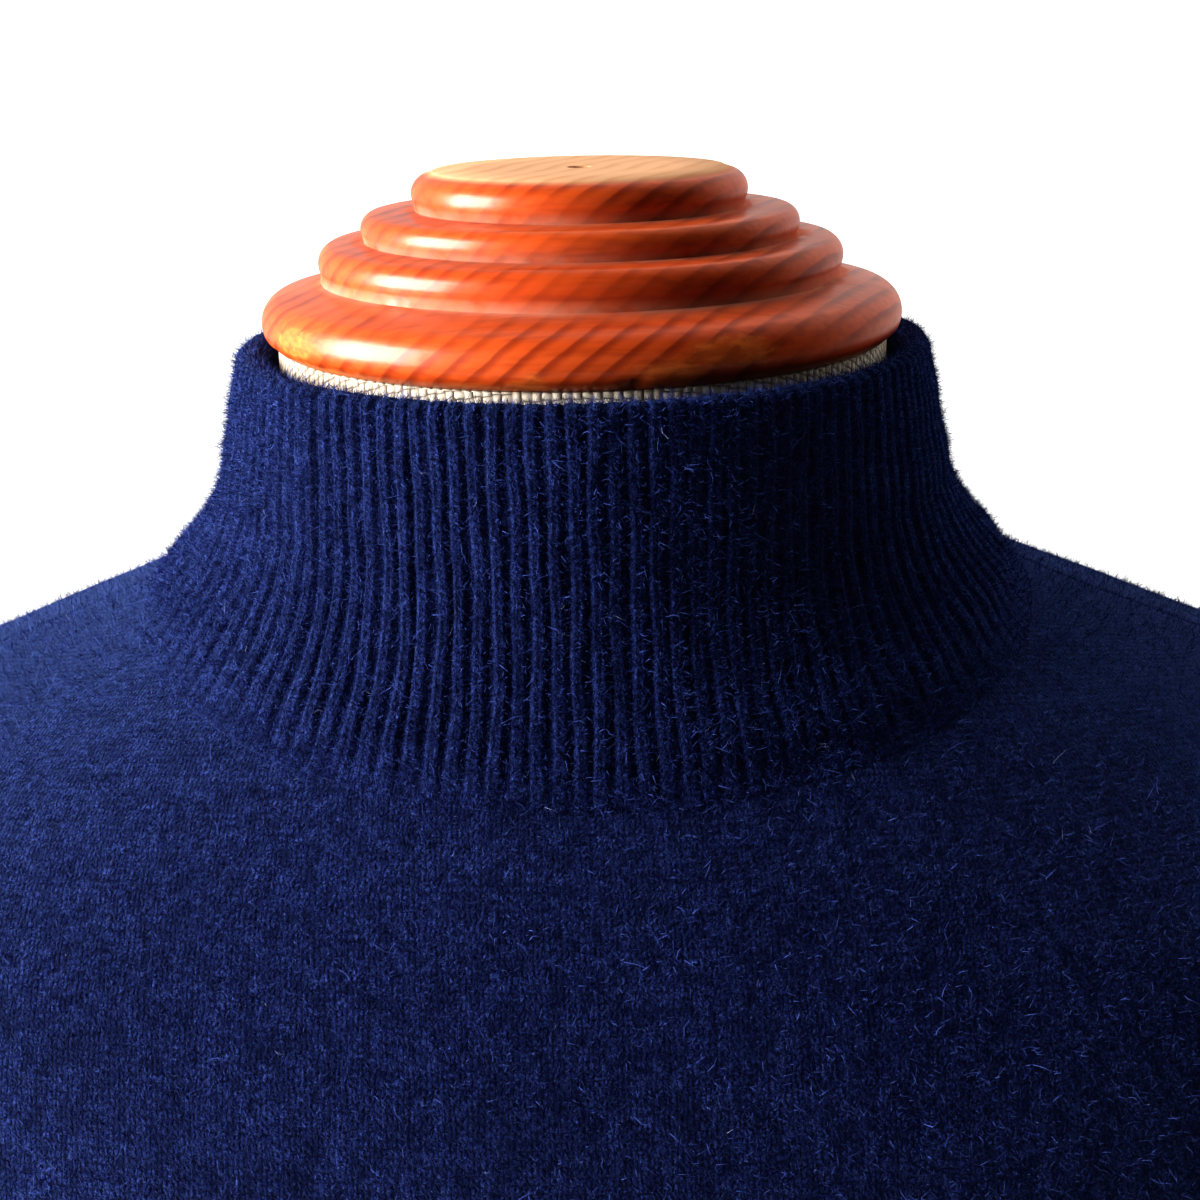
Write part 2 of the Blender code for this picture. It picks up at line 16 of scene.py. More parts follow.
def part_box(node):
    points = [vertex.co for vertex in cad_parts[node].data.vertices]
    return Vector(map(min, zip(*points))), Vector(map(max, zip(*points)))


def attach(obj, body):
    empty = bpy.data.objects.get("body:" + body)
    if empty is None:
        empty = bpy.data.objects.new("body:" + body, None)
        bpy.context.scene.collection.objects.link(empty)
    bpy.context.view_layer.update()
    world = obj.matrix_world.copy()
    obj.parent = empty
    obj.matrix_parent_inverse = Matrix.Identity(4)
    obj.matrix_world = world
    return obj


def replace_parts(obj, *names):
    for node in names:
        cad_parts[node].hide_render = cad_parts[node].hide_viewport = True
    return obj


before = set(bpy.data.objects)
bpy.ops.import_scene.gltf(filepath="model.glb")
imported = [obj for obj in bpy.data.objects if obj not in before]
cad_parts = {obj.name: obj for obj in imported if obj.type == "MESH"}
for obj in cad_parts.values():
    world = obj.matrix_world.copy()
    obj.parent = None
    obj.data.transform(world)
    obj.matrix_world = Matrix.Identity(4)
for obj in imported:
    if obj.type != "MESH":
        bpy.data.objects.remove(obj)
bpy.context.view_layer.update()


# Round base and pole
# Two turnings in stained pine: a disc with a rounded rim and a boss, and the post glued into it.
# The post ends in a flange under the form. The photo ends above them, so both are plain.

TURNED_STEPS = 192
BASE_RADIUS = 0.165
BASE_THICKNESS = 0.028
BASE_EDGE = 0.008
BOSS_RADIUS = 0.034
BOSS_HEIGHT = 0.012
POLE_RADIUS = 0.018
FLANGE_RADIUS = 0.030
STAIN_LIGHT = (0.57, 0.106, 0.021, 1.0)
STAIN_RED = (0.48, 0.068, 0.011, 1.0)
STAIN_DARK = (0.19, 0.021, 0.005, 1.0)
RUBBED_STAIN_AND_HIGHLIGHT = (0.66, 0.185, 0.042, 1.0)
BARE_WOOD = (0.62, 0.36, 0.21, 1.0)
BARE_GRAIN = (0.50, 0.26, 0.13, 1.0)
HOUSE_DUST = (0.52, 0.30, 0.23, 1.0)
GROWTH_LAYER = Vector((-0.62, 0.26, 0.74)).normalized()
LAYER_SPACING = 0.0034
VARNISH_ROUGHNESS = 0.42
SHARP_EDGE = radians(38)


def is_socket(value):
    return isinstance(value, bpy.types.NodeSocket)


def fill(node, values):
    """Sets a node's inputs, by name or number, to numbers, colours or outputs of other nodes."""
    for label, value in values.items():
        if is_socket(value):
            node.id_data.links.new(value, node.inputs[label])
        else:
            node.inputs[label].default_value = value


def new_node(kind, values, **settings):
    """The outputs of a new node, in the tree of the first output among its values."""
    tree = next(filter(is_socket, values.values())).id_data
    made = tree.nodes.new("ShaderNode" + kind)
    for label, setting in settings.items():
        setattr(made, label, setting)
    fill(made, values)
    return made.outputs


def calc(operation, *values):
    return new_node("Math", dict(enumerate(values)), operation=operation)[0]


def times(one, two):
    return calc("MULTIPLY", one, two)


def spread(value, low, high, to_low=0.0, to_high=1.0):
    """A value moved smoothly from one range to another, and held at its ends."""
    values = {"Value": value, "From Min": low, "From Max": high, "To Min": to_low, "To Max": to_high}
    return new_node("MapRange", values, interpolation_type="SMOOTHSTEP")["Result"]


def blend(amount, one, two):
    return new_node("Mix", {0: amount, 6: one, 7: two}, data_type="RGBA")[2]


def cloud(place, scale, detail=2.0, roughness=0.5, output="Fac"):
    values = {"Vector": place, "Scale": scale, "Detail": detail, "Roughness": roughness}
    return new_node("TexNoise", values)[output]


def streaks(place, scale, detail=2.0, roughness=0.5):
    """Noise that runs in streaks, with its own scale along each axis."""
    stretched = new_node("Mapping", {"Vector": place, "Scale": scale})["Vector"]
    return cloud(stretched, 1.0, detail, roughness)


def shaken(uv, place, scale, roughness, sway):
    """A UV shaken about by noise."""
    shake = cloud(place, scale, 2.0, roughness, "Color")
    return new_node("VectorMath", {0: shake, 1: sway, 2: uv}, operation="MULTIPLY_ADD")["Vector"]


def coordinates(tree, uv_map=None):
    if uv_map is None:
        return tree.nodes.new("ShaderNodeTexCoord").outputs["Object"]
    made = tree.nodes.new("ShaderNodeUVMap")
    made.uv_map = uv_map
    return made.outputs["UV"]


def parts_of(vector):
    return new_node("SeparateXYZ", {0: vector})


def raise_by(height, distance, under=None):
    values = {"Height": height, "Distance": distance}
    if under is not None:
        values["Normal"] = under
    return new_node("Bump", values)["Normal"]


def new_finish(name, roughness):
    finish = bpy.data.materials.new(name)
    finish.use_nodes = True
    shader = finish.node_tree.nodes["Principled BSDF"]
    shader.inputs["Roughness"].default_value = roughness
    return finish, finish.node_tree, shader


def growth_layers(place):
    """0 in the pale early wood of each year, rising to 1 in its thin dark late wood."""
    across = new_node("VectorMath", {0: place, 1: GROWTH_LAYER}, operation="DOT_PRODUCT")["Value"]
    drift = times(streaks(place, (7.0, 20.0, 20.0)), 0.0060)
    waver = times(cloud(place, 150.0), 0.0009)
    depth = calc("ADD", calc("ADD", across, drift), waver)
    year = calc("FRACT", calc("DIVIDE", depth, LAYER_SPACING))
    rise = spread(year, 0.36, 0.80)
    fall = spread(year, 0.86, 1.0, 1.0, 0.0)
    fading = spread(streaks(place, (25.0, 60.0, 60.0)), 0.36, 0.62, 0.25, 1.0)
    return times(times(rise, fall), fading)


def varnished_pine(name, worn):
    """Pine stained red-brown and varnished. A worn piece has bare and rubbed places, one of them a painted
    highlight, and dust.
    """
    finish, tree, shader = new_finish(name, VARNISH_ROUGHNESS)
    place = coordinates(tree)
    late = growth_layers(place)
    patchy = streaks(place, (9.0, 42.0, 55.0), 3.0)
    early = blend(spread(patchy, 0.30, 0.70), STAIN_LIGHT, STAIN_RED)
    fibres = streaks(place, (60.0, 700.0, 900.0), 3.0)
    early = blend(spread(fibres, 0.42, 0.72, 0.0, 0.30), early, STAIN_DARK)
    colour = blend(times(late, 0.68), early, STAIN_DARK)
    scratches = streaks(place, (160.0, 160.0, 1500.0), 3.0, 0.7)
    ripple = raise_by(cloud(place, 120.0), 0.00012)
    ripple = raise_by(scratches, 0.000025, ripple)
    gloss = {"Coat Weight": 0.5}
    if worn:
        crease, bare, _ = parts_of(coordinates(tree, "wear"))
        rub_and_highlight, _, _ = parts_of(coordinates(tree, "rubbing"))
        torn = streaks(place, (220.0, 220.0, 560.0), 4.0, 0.65)
        # The lighter rubbed stain covers the rubbed varnish and one painted highlight on the lower edge.
        rubbed = spread(calc("MULTIPLY_ADD", rub_and_highlight, 0.80, torn), 0.68, 1.12, 0.0, 0.95)
        rubbed = times(rubbed, spread(fibres, 0.36, 0.60, 1.0, 0.45))
        colour = blend(rubbed, colour, RUBBED_STAIN_AND_HIGHLIGHT)
        bare_grain = blend(times(late, 0.60), BARE_WOOD, BARE_GRAIN)
        colour = blend(bare, colour, bare_grain)
        settled = times(crease, spread(cloud(place, 150.0, 3.0), 0.15, 0.60))
        colour = blend(times(settled, 0.55), colour, HOUSE_DUST)
        dull = calc("MAXIMUM", calc("MAXIMUM", bare, settled), times(rubbed, 0.5))
        gloss = {
            "Roughness": spread(dull, 0.0, 1.0, VARNISH_ROUGHNESS, 0.85),
            "Coat Weight": spread(dull, 0.0, 0.6, 0.44, 0.0),
        }
    gloss |= {"Coat Roughness": 0.25, "Coat Normal": ripple, "Specular IOR Level": 0.20}
    fill(shader, gloss | {"Base Color": colour, "Normal": ripple})
    return finish


def grid_corners(rows, columns, close_rows, close_columns):
    """The four corners of each quad of a grid, whose rows and columns may join up with themselves."""
    row, column = np.indices((rows - (not close_rows), columns - (not close_columns))).reshape(2, -1)
    above = (row + 1) % rows
    beside = (column + 1) % columns
    return np.stack(
        [row * columns + column, row * columns + beside, above * columns + beside, above * columns + column],
        axis=1,
    )


def end_faces(rows, columns):
    """The faces that close a stack of rings below and above."""
    last = (rows - 1) * columns
    return [list(range(columns))[::-1], list(range(last, last + columns))]


def full_turn(steps):
    return np.arange(steps) * 2 * pi / steps


def add_object(name, data):
    made = bpy.data.objects.new(name, data)
    bpy.context.scene.collection.objects.link(made)
    return made


def add_piece(name, points, faces, finish, maps=None):
    """A smooth mesh riding on the body, with a UV for every corner of its faces in each map."""
    mesh = bpy.data.meshes.new(name)
    mesh.from_pydata(points.reshape(-1, 3).tolist(), [], faces)
    for label, uv in (maps or {}).items():
        layer = mesh.uv_layers.new(name=label)
        layer.data.foreach_set("uv", np.ascontiguousarray(uv, dtype=np.float32).ravel())
    mesh.shade_smooth()
    mesh.materials.append(finish)
    piece = add_object(name, mesh)
    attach(piece, "root")
    return piece


def rounded(centre_radius, centre_height, radius, start, end, pieces):
    """Profile points along an arc, from one angle to another in degrees above outward."""
    turns = np.radians(np.linspace(start, end, pieces + 1))
    return [(centre_radius + radius * cos(a), centre_height + radius * sin(a)) for a in turns]


def turned(name, profile, finish, shapes=None):
    """A turned piece from its profile of (radius, height), from the underside up, with flat ends.
    shapes gives each UV map's pair of values from the points."""
    radius, height = np.array(profile).T
    turn = full_turn(TURNED_STEPS)
    points = np.stack(
        [np.outer(radius, np.cos(turn)), np.outer(radius, np.sin(turn)), np.outer(height, 1 + 0 * turn)],
        axis=-1,
    )
    corners = grid_corners(len(profile), TURNED_STEPS, False, True)
    ends = end_faces(len(profile), TURNED_STEPS)
    order = np.concatenate([corners.ravel(), *ends])
    maps = {label: shape(points.reshape(-1, 3))[order] for label, shape in (shapes or {}).items()}
    piece = add_piece(name, points, corners.tolist() + ends, finish, maps)
    piece.data.set_sharp_from_angle(angle=SHARP_EDGE)
    return piece


pole_low, pole_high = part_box("stand_pole")
boss_top = BASE_THICKNESS + BOSS_HEIGHT
base_profile = [(BASE_RADIUS - 0.003, 0.0), (BASE_RADIUS, 0.003)]
base_profile += rounded(BASE_RADIUS - BASE_EDGE, BASE_THICKNESS - BASE_EDGE, BASE_EDGE, 0, 90, 12)
base_profile += rounded(BOSS_RADIUS + 0.004, BASE_THICKNESS + 0.004, 0.004, 270, 180, 8)
base_profile += rounded(BOSS_RADIUS - 0.006, boss_top - 0.006, 0.006, 0, 90, 10)
pole_foot = pole_low[2]
pole_top = pole_high[2]
pole_profile = [(POLE_RADIUS + 0.003, pole_foot), (POLE_RADIUS + 0.003, pole_foot + 0.012)]
pole_profile += rounded(POLE_RADIUS, pole_foot + 0.022, 0.006, -70, 70, 14)
pole_profile += [(POLE_RADIUS, pole_foot + 0.034), (POLE_RADIUS, pole_top - 0.026)]
pole_profile += rounded(POLE_RADIUS + 0.012, pole_top - 0.022, 0.012, 180, 100, 8)
pole_profile += [(FLANGE_RADIUS - 0.001, pole_top - 0.010), (FLANGE_RADIUS, pole_top - 0.009)]
pole_profile += [(FLANGE_RADIUS, pole_top)]
stand_wood = varnished_pine("stained pine", False)
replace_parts(turned("base_turning", base_profile, stand_wood), "stand_base")
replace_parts(turned("pole_turning", pole_profile, stand_wood), "stand_pole")


# Dress form
# A padded body covered in coarse unbleached linen, sewn closed under the cap and over the post.
# Only a narrow strip of its neck shows above the collar, and its flat bottom inside the hem.

NECK_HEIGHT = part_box("dress_form")[1][2]
FORM_BOTTOM_DROP = NECK_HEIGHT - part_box("dress_form")[0][2]
FORM_COLUMNS = 160
LINEN_CELL = 0.00165
LINEN_PALE = (0.72, 0.66, 0.55, 1.0)
LINEN_PAINTED_SHADE = (0.28, 0.24, 0.18, 1.0)
LINEN_SLUB = (0.55, 0.47, 0.36, 1.0)

# Level sections of the form: drop, half width, depth in front and behind, and how square
FORM = [
    (0.0000, 0.0573, 0.0573, 0.0573, 2.00),
    (0.0120, 0.0574, 0.0574, 0.0578, 2.00),
    (0.0200, 0.0592, 0.0579, 0.0592, 2.00),
    (0.0260, 0.0611, 0.0588, 0.0610, 2.00),
    (0.0320, 0.0649, 0.0605, 0.0636, 2.00),
    (0.0380, 0.0699, 0.0631, 0.0668, 2.00),
    (0.0430, 0.0757, 0.0660, 0.0699, 2.00),
    (0.0475, 0.0825, 0.0690, 0.0730, 2.00),
    (0.0512, 0.0900, 0.0718, 0.0757, 2.02),
    (0.0560, 0.1013, 0.0757, 0.0793, 2.06),
    (0.0615, 0.1152, 0.0805, 0.0834, 2.10),
    (0.0675, 0.1296, 0.0857, 0.0878, 2.10),
    (0.0740, 0.1454, 0.0910, 0.0924, 2.10),
    (0.0805, 0.1610, 0.0958, 0.0966, 2.10),
    (0.0865, 0.1742, 0.0998, 0.1000, 2.12),
    (0.0960, 0.1815, 0.1050, 0.1045, 2.15),
    (0.1100, 0.1818, 0.1110, 0.1095, 2.20),
    (0.1350, 0.1765, 0.1195, 0.1150, 2.25),
    (0.1700, 0.1670, 0.1275, 0.1180, 2.30),
    (0.2100, 0.1570, 0.1325, 0.1150, 2.30),
    (0.2450, 0.1510, 0.1330, 0.1100, 2.30),
    (0.3100, 0.1410, 0.1200, 0.0970, 2.25),
    (0.3600, 0.1260, 0.1085, 0.0880, 2.20),
    (0.4000, 0.1190, 0.1030, 0.0850, 2.20),
    (0.4500, 0.1300, 0.1080, 0.0950, 2.20),
    (0.5200, 0.1530, 0.1150, 0.1120, 2.25),
    (0.5900, 0.1650, 0.1180, 0.1210, 2.30),
    (0.6500, 0.1660, 0.1170, 0.1210, 2.30),
    (0.7200, 0.1600, 0.1120, 0.1150, 2.30),
]


def smooth_curve(x, y):
    """A cubic through points that never overshoots them, as a function of x."""
    step = np.diff(x)
    rise = np.diff(y) / step
    same_way = rise[:-1] * rise[1:] > 0
    total = np.where(same_way, rise[:-1] + rise[1:], 1.0)
    inside = np.where(same_way, 2 * rise[:-1] * rise[1:] / total, 0.0)
    slope = np.concatenate([rise[:1], inside, rise[-1:]])

    def at(value):
        wanted = np.clip(value, x[0], x[-1])
        i = np.clip(np.searchsorted(x, wanted, side="right") - 1, 0, len(step) - 1)
        t = (wanted - x[i]) / step[i]
        return (
            y[i] * (1 + 2 * t) * (1 - t) ** 2
            + y[i + 1] * t * t * (3 - 2 * t)
            + step[i] * (slope[i] * t * (1 - t) ** 2 - slope[i + 1] * t * t * (1 - t))
        )

    return at


def curves(table):
    """A smooth curve for each column of a table after its first, as a function of the first."""
    first, *others = np.array(table, dtype=float).T
    return [smooth_curve(first, column) for column in others]


form_width, form_front, form_back, form_power = curves(FORM)


def signed_power(base, power):
    return np.sign(base) * np.abs(base) ** power


def section_point(angle, drop, side, front, back):
    """Points of a level section of the form, let out by the given ease, with angle in radians."""
    depth = np.where(np.sin(angle) < 0, form_front(drop) + front, form_back(drop) + back)
    round_off = 2 / form_power(drop)
    x = (form_width(drop) + side) * signed_power(np.cos(angle), round_off)
    y = depth * signed_power(np.sin(angle), round_off)
    return np.stack([x, y, NECK_HEIGHT - drop + 0 * x], axis=-1)


def lengths_along(rows):
    """Distance along each row of points from the row's own start."""
    steps = np.linalg.norm(np.diff(rows, axis=1), axis=2)
    return np.concatenate([np.zeros((len(rows), 1)), np.cumsum(steps, axis=1)], axis=1)


def lengths_up(rows):
    """Distance up each column of points from the column's own start."""
    return lengths_along(rows.swapaxes(0, 1)).swapaxes(0, 1)


def shut(rows):
    """A grid with its first column again after its last."""
    return np.concatenate([rows, rows[:, :1]], axis=1)


def cloth_places(rows):
    """Where each point of a grid lies in its cloth: across from its middle, up from its first row."""
    across = lengths_along(rows)
    across -= across[:, rows.shape[1] // 2][:, None]
    up = np.zeros(across.shape)
    for k in range(1, len(rows)):
        level = np.stack(
            [np.interp(across[k - 1], across[k], rows[k][:, axis]) for axis in range(3)], axis=1
        )
        reached = up[k - 1] + np.linalg.norm(level - rows[k - 1], axis=1)
        up[k] = np.interp(across[k], across[k - 1], reached)
    return np.stack([across, up], axis=-1)


def plain_weave(uv):
    """Height of a plain weave, one thread to each unit of the UV both ways."""
    u, v, _ = parts_of(uv)
    warp, weft = (calc("SINE", times(calc("FRACT", way), pi)) for way in (u, v))
    count = calc("ADD", calc("FLOOR", u), calc("FLOOR", v))
    over = calc("GREATER_THAN", calc("FRACT", times(count, 0.5)), 0.25)
    warp_up = times(warp, calc("MULTIPLY_ADD", weft, 0.55, 0.45))
    weft_up = times(weft, calc("MULTIPLY_ADD", warp, 0.55, 0.45))
    chosen = calc("MULTIPLY_ADD", over, calc("SUBTRACT", warp_up, weft_up), weft_up)
    return calc("POWER", chosen, 0.7)


def unbleached_linen():
    finish, tree, shader = new_finish("unbleached linen", 0.92)
    place = coordinates(tree)
    threads = shaken(coordinates(tree, "threads"), place, 420.0, 0.5, (0.22, 0.22, 0.0))
    height = plain_weave(threads)
    slub = spread(streaks(place, (60.0, 60.0, 420.0), 3.0), 0.45, 0.7)
    thread = blend(slub, LINEN_PALE, LINEN_SLUB)
    # Painted shade: the weave is darker where its height is low, in the gaps between threads.
    colour = blend(spread(height, 0.15, 0.75), LINEN_PAINTED_SHADE, thread)
    fill(shader, {"Base Color": colour, "Normal": raise_by(height, 0.00035)})
    return finish


form_drops = np.unique(np.concatenate([np.linspace(0.0, 0.10, 36), np.linspace(0.10, 0.705, 44)]))[::-1]
form_ring = pi / 2 + full_turn(FORM_COLUMNS)
form_rows = [section_point(form_ring, drop, 0, 0, 0) for drop in form_drops]
form_end = section_point(form_ring, FORM_BOTTOM_DROP, 0, 0, 0)
for tuck in np.radians((30, 60, 90)):
    shrink = 1 - 0.06 * (1 - cos(tuck))
    lift = 0.006 * (1 - sin(tuck))
    form_rows.insert(0, form_end * (shrink, shrink, 1.0) + (0, 0, lift))
form_rows = np.array(form_rows)
form_corners = grid_corners(len(form_rows), FORM_COLUMNS, False, True)
form_ends = end_faces(len(form_rows), FORM_COLUMNS)
thread_order = grid_corners(len(form_rows), FORM_COLUMNS + 1, False, False)
threads = cloth_places(shut(form_rows)).reshape(-1, 2)[thread_order.ravel()]
end_threads = form_rows.reshape(-1, 3)[np.concatenate(form_ends)][:, :2]
form_piece = add_piece(
    "form_linen", form_rows, form_corners.tolist() + form_ends, unbleached_linen(),
    {"threads": np.concatenate([threads, end_threads]) / LINEN_CELL},
)
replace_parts(form_piece, "dress_form")


# Neck cap
# One pine turning in four rounded steps, glued on the form's neck. Its varnish is worn through at the
# lower edge, dust lies in its creases, and its sawn top is bare round the hole of a lost finial.

CAP_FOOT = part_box("neck_cap")[0][2]
CAP_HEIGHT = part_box("neck_cap")[1][2] - CAP_FOOT
CAP_TOP_RADIUS = 0.0270
HOLE_RADIUS = 0.0023
HOLE_DEPTH = 0.009
CREASE_REACH = 0.0016
WORN_RADIUS = 0.055
CapStep = namedtuple("CapStep", "radius height round foot_radius foot_height")
CAP_STEPS = [
    CapStep(0.0600, 0.0043, 0.0052, 0.0575, 0.0000),
    CapStep(0.0490, 0.0146, 0.0036, 0.0487, 0.0112),
    CapStep(0.0409, 0.0206, 0.0029, 0.0404, 0.0183),
    CapStep(0.0313, 0.0266, 0.0036, 0.0307, 0.0236),
]

# Places rubbed through the varnish, and one painted highlight on the lower edge: angle, height, how wide and
# how high
RUBS_AND_PAINTED_HIGHLIGHT = [
    (214, 0.0042, 0.0090, 0.0030),
    # Painted highlight: a pale peach band on the lowest edge where it catches the light, drawn as a rub.
    (222, 0.0006, 0.0150, 0.0012),
    (252, 0.0004, 0.0100, 0.0010),
    (262, 0.0012, 0.0030, 0.0024),
    (284, 0.0028, 0.0060, 0.0028),
    (294, 0.0052, 0.0090, 0.0026),
    (70, 0.0040, 0.0120, 0.0022),
    (165, 0.0030, 0.0100, 0.0018),
]

# Nicks in the lower edge: angle, height, size and depth
NICKS = [
    (277.6, 0.0011, 0.0012, 0.0018),
    (254.5, 0.0042, 0.0007, 0.0005),
    (95.0, 0.0015, 0.0009, 0.0010),
]


def wear_of(points):
    """How deep in a crease between steps each point is, and whether it is on the bare top."""
    radius = np.hypot(points[:, 0], points[:, 1])
    height = points[:, 2] - CAP_FOOT
    crease = 0 * radius
    for step in CAP_STEPS[1:]:
        away = np.hypot(radius - step.foot_radius, height - step.foot_height)
        crease = np.maximum(crease, np.exp(-((away / CREASE_REACH) ** 2)))
    bare = (height > CAP_HEIGHT - 0.0003) | (radius < HOLE_RADIUS * 1.01)
    return np.stack([crease, bare.astype(float)], axis=1)


def arc_from(x, y, angle):
    """Distance round the axis from an angle in degrees to each point."""
    return ((np.arctan2(y, x) - radians(angle) + pi) % (2 * pi) - pi) * np.hypot(x, y)


def rubbing_of(points):
    """How rubbed the varnish is at each point, from 0 to 1, with one painted highlight among the rubs."""
    x, y, z = points.T
    rubbed = 0 * x
    for angle, height, wide, high in RUBS_AND_PAINTED_HIGHLIGHT:
        spot = (arc_from(x, y, angle) / wide) ** 2 + ((z - CAP_FOOT - height) / high) ** 2
        rubbed = np.maximum(rubbed, np.exp(-spot) * (np.hypot(x, y) > WORN_RADIUS))
    return np.stack([rubbed, rubbed], axis=1)


def chip_edge(cap):
    """Knocks small chips out of the cap's lower edge."""
    for point in cap.data.vertices:
        x, y, z = point.co
        radius = np.hypot(x, y)
        if radius < WORN_RADIUS:
            continue
        for angle, height, size, depth in NICKS:
            away = np.hypot(arc_from(x, y, angle), z - CAP_FOOT - height) / size
            inward = depth * max(0.0, min(1.0, 1.2 - away)) / radius
            point.co = (point.co[0] - x * inward, point.co[1] - y * inward, z)


cap_profile = [(CAP_STEPS[0].foot_radius - 0.0004, 0.0), (CAP_STEPS[0].foot_radius, 0.0002)]
for lower, upper in zip(CAP_STEPS, CAP_STEPS[1:] + [None]):
    cap_profile += rounded(lower.radius - lower.round, lower.height, lower.round, -28, 66, 14)
    if upper is not None:
        ledge = np.array([upper.foot_radius, upper.foot_height])
        shoulder = np.array(cap_profile[-1])
        cap_profile += [tuple(shoulder + (ledge - shoulder) * t) for t in (0.4, 0.8, 0.93, 1.0)]
cap_profile += [(CAP_TOP_RADIUS + 0.0003, CAP_HEIGHT - 0.0002)]
cap_profile += [(radius, CAP_HEIGHT) for radius in (CAP_TOP_RADIUS, 0.018, 0.009, HOLE_RADIUS + 0.0001)]
cap_profile += [(HOLE_RADIUS, CAP_HEIGHT - 0.0001), (HOLE_RADIUS, CAP_HEIGHT - HOLE_DEPTH)]
cap_piece = turned(
    "cap_turning",
    [(radius, CAP_FOOT + height) for radius, height in cap_profile],
    varnished_pine("worn varnished pine", True),
    {"wear": wear_of, "rubbing": rubbing_of},
)
chip_edge(cap_piece)
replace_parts(cap_piece, "neck_cap")


# Front and back
# Two stockinette panels of 12 gauge cashmere, linked at the shoulders and sides and brushed after
# washing, so a soft nap blurs the stitches. They lie on the form's yoke and hang free below it.

WALE = 0.00175
COURSE = 0.00128
JERSEY = 0.0022
CLEARANCE = 0.0007
SEAM_GAP = 0.00004
PANEL_COLUMNS = 142
PANEL_EDGE = 0.0022
LIP = 0.0006
LIP_REACH = 0.0009
SHOULDER_TIP = 0.0865
UNDERARM = 0.2450
HEM_TOP = 0.5900
FOLD_LEVEL = 0.300
EDGE_SHIFTS = np.array([0.0, 0.0004, 0.0010, 0.0020])
# The deep and lit navies are shaded and lit copies of the yarn's navy. The knit mixes them in as painted
# shade in its hollows and rib gaps and as painted light along its raised nap, and elsewhere as random darker
# and paler tone. The paler one also tints some loose fibres.
NAVY = (0.0094, 0.0142, 0.096, 1.0)
NAVY_DARK_AND_PAINTED_SHADE = (0.0027, 0.0032, 0.027, 1.0)
NAVY_PALE_AND_PAINTED_LIGHT = (0.110, 0.166, 0.480, 1.0)
NAVY_SHEEN = (0.30, 0.48, 1.0, 1.0)
FIBRE_PALE = (0.25, 0.28, 0.40, 1.0)
FIBRE_RED = (0.30, 0.08, 0.10, 1.0)
PALE_SHADE = 0.9972
RED_SHADE = 0.99975
ROOT_DEPTH = 0.00012
FIBRES_TO_A_STRAY = 320

# Fuzz, fibres and strays: their reach for a length of 1, how far they splay, joints and half width
FIBRE_KINDS = [
    (1.10, 0.60, 1, 0.000048),
    (1.70, 0.55, 2, 0.000045),
    (2.20, 2.60, 4, 0.000030),
]

# How far cloth stands off the form: drop, then at the sides, in front and behind
BODY_EASE = [
    (0.000, 0.0000, 0.0000, 0.0000),
    (0.060, 0.0000, 0.0000, 0.0000),
    (0.090, 0.0018, 0.0008, 0.0010),
    (0.120, 0.0032, 0.0012, 0.0018),
    (0.180, 0.0060, 0.0018, 0.0034),
    (0.245, 0.0120, 0.0020, 0.0080),
    (0.320, 0.0210, 0.0100, 0.0180),
    (0.400, 0.0400, 0.0260, 0.0340),
    (0.470, 0.0320, 0.0250, 0.0290),
    (0.540, 0.0150, 0.0210, 0.0190),
    (0.590, 0.0085, 0.0165, 0.0135),
    (0.652, 0.0055, 0.0130, 0.0110),
]

# Round the neck: angle, and the drops of the collar's seam and rim
NECKLINE = [
    (0, 0.0472, 0.0010),
    (45, 0.0500, 0.0008),
    (90, 0.0530, 0.0008),
    (135, 0.0500, 0.0008),
    (180, 0.0472, 0.0014),
    (205, 0.0502, 0.0014),
    (225, 0.0543, 0.0014),
    (248, 0.0600, 0.0013),
    (270, 0.0637, 0.0012),
    (292, 0.0600, 0.0011),
    (315, 0.0543, 0.0011),
    (335, 0.0502, 0.0010),
    (360, 0.0472, 0.0010),
]

# Drop, and how many degrees from the side the armhole is cut into the front and the back
ARMHOLE = [
    (0.0865, 0.0, 0.0),
    (0.0925, 8.5, 8.0),
    (0.1060, 18.0, 16.5),
    (0.1280, 25.0, 22.5),
    (0.1540, 28.5, 25.5),
    (0.1800, 29.5, 26.5),
    (0.2050, 27.5, 25.0),
    (0.2260, 22.0, 20.5),
    (0.2400, 12.5, 12.0),
    (0.2450, 0.0, 0.0),
]

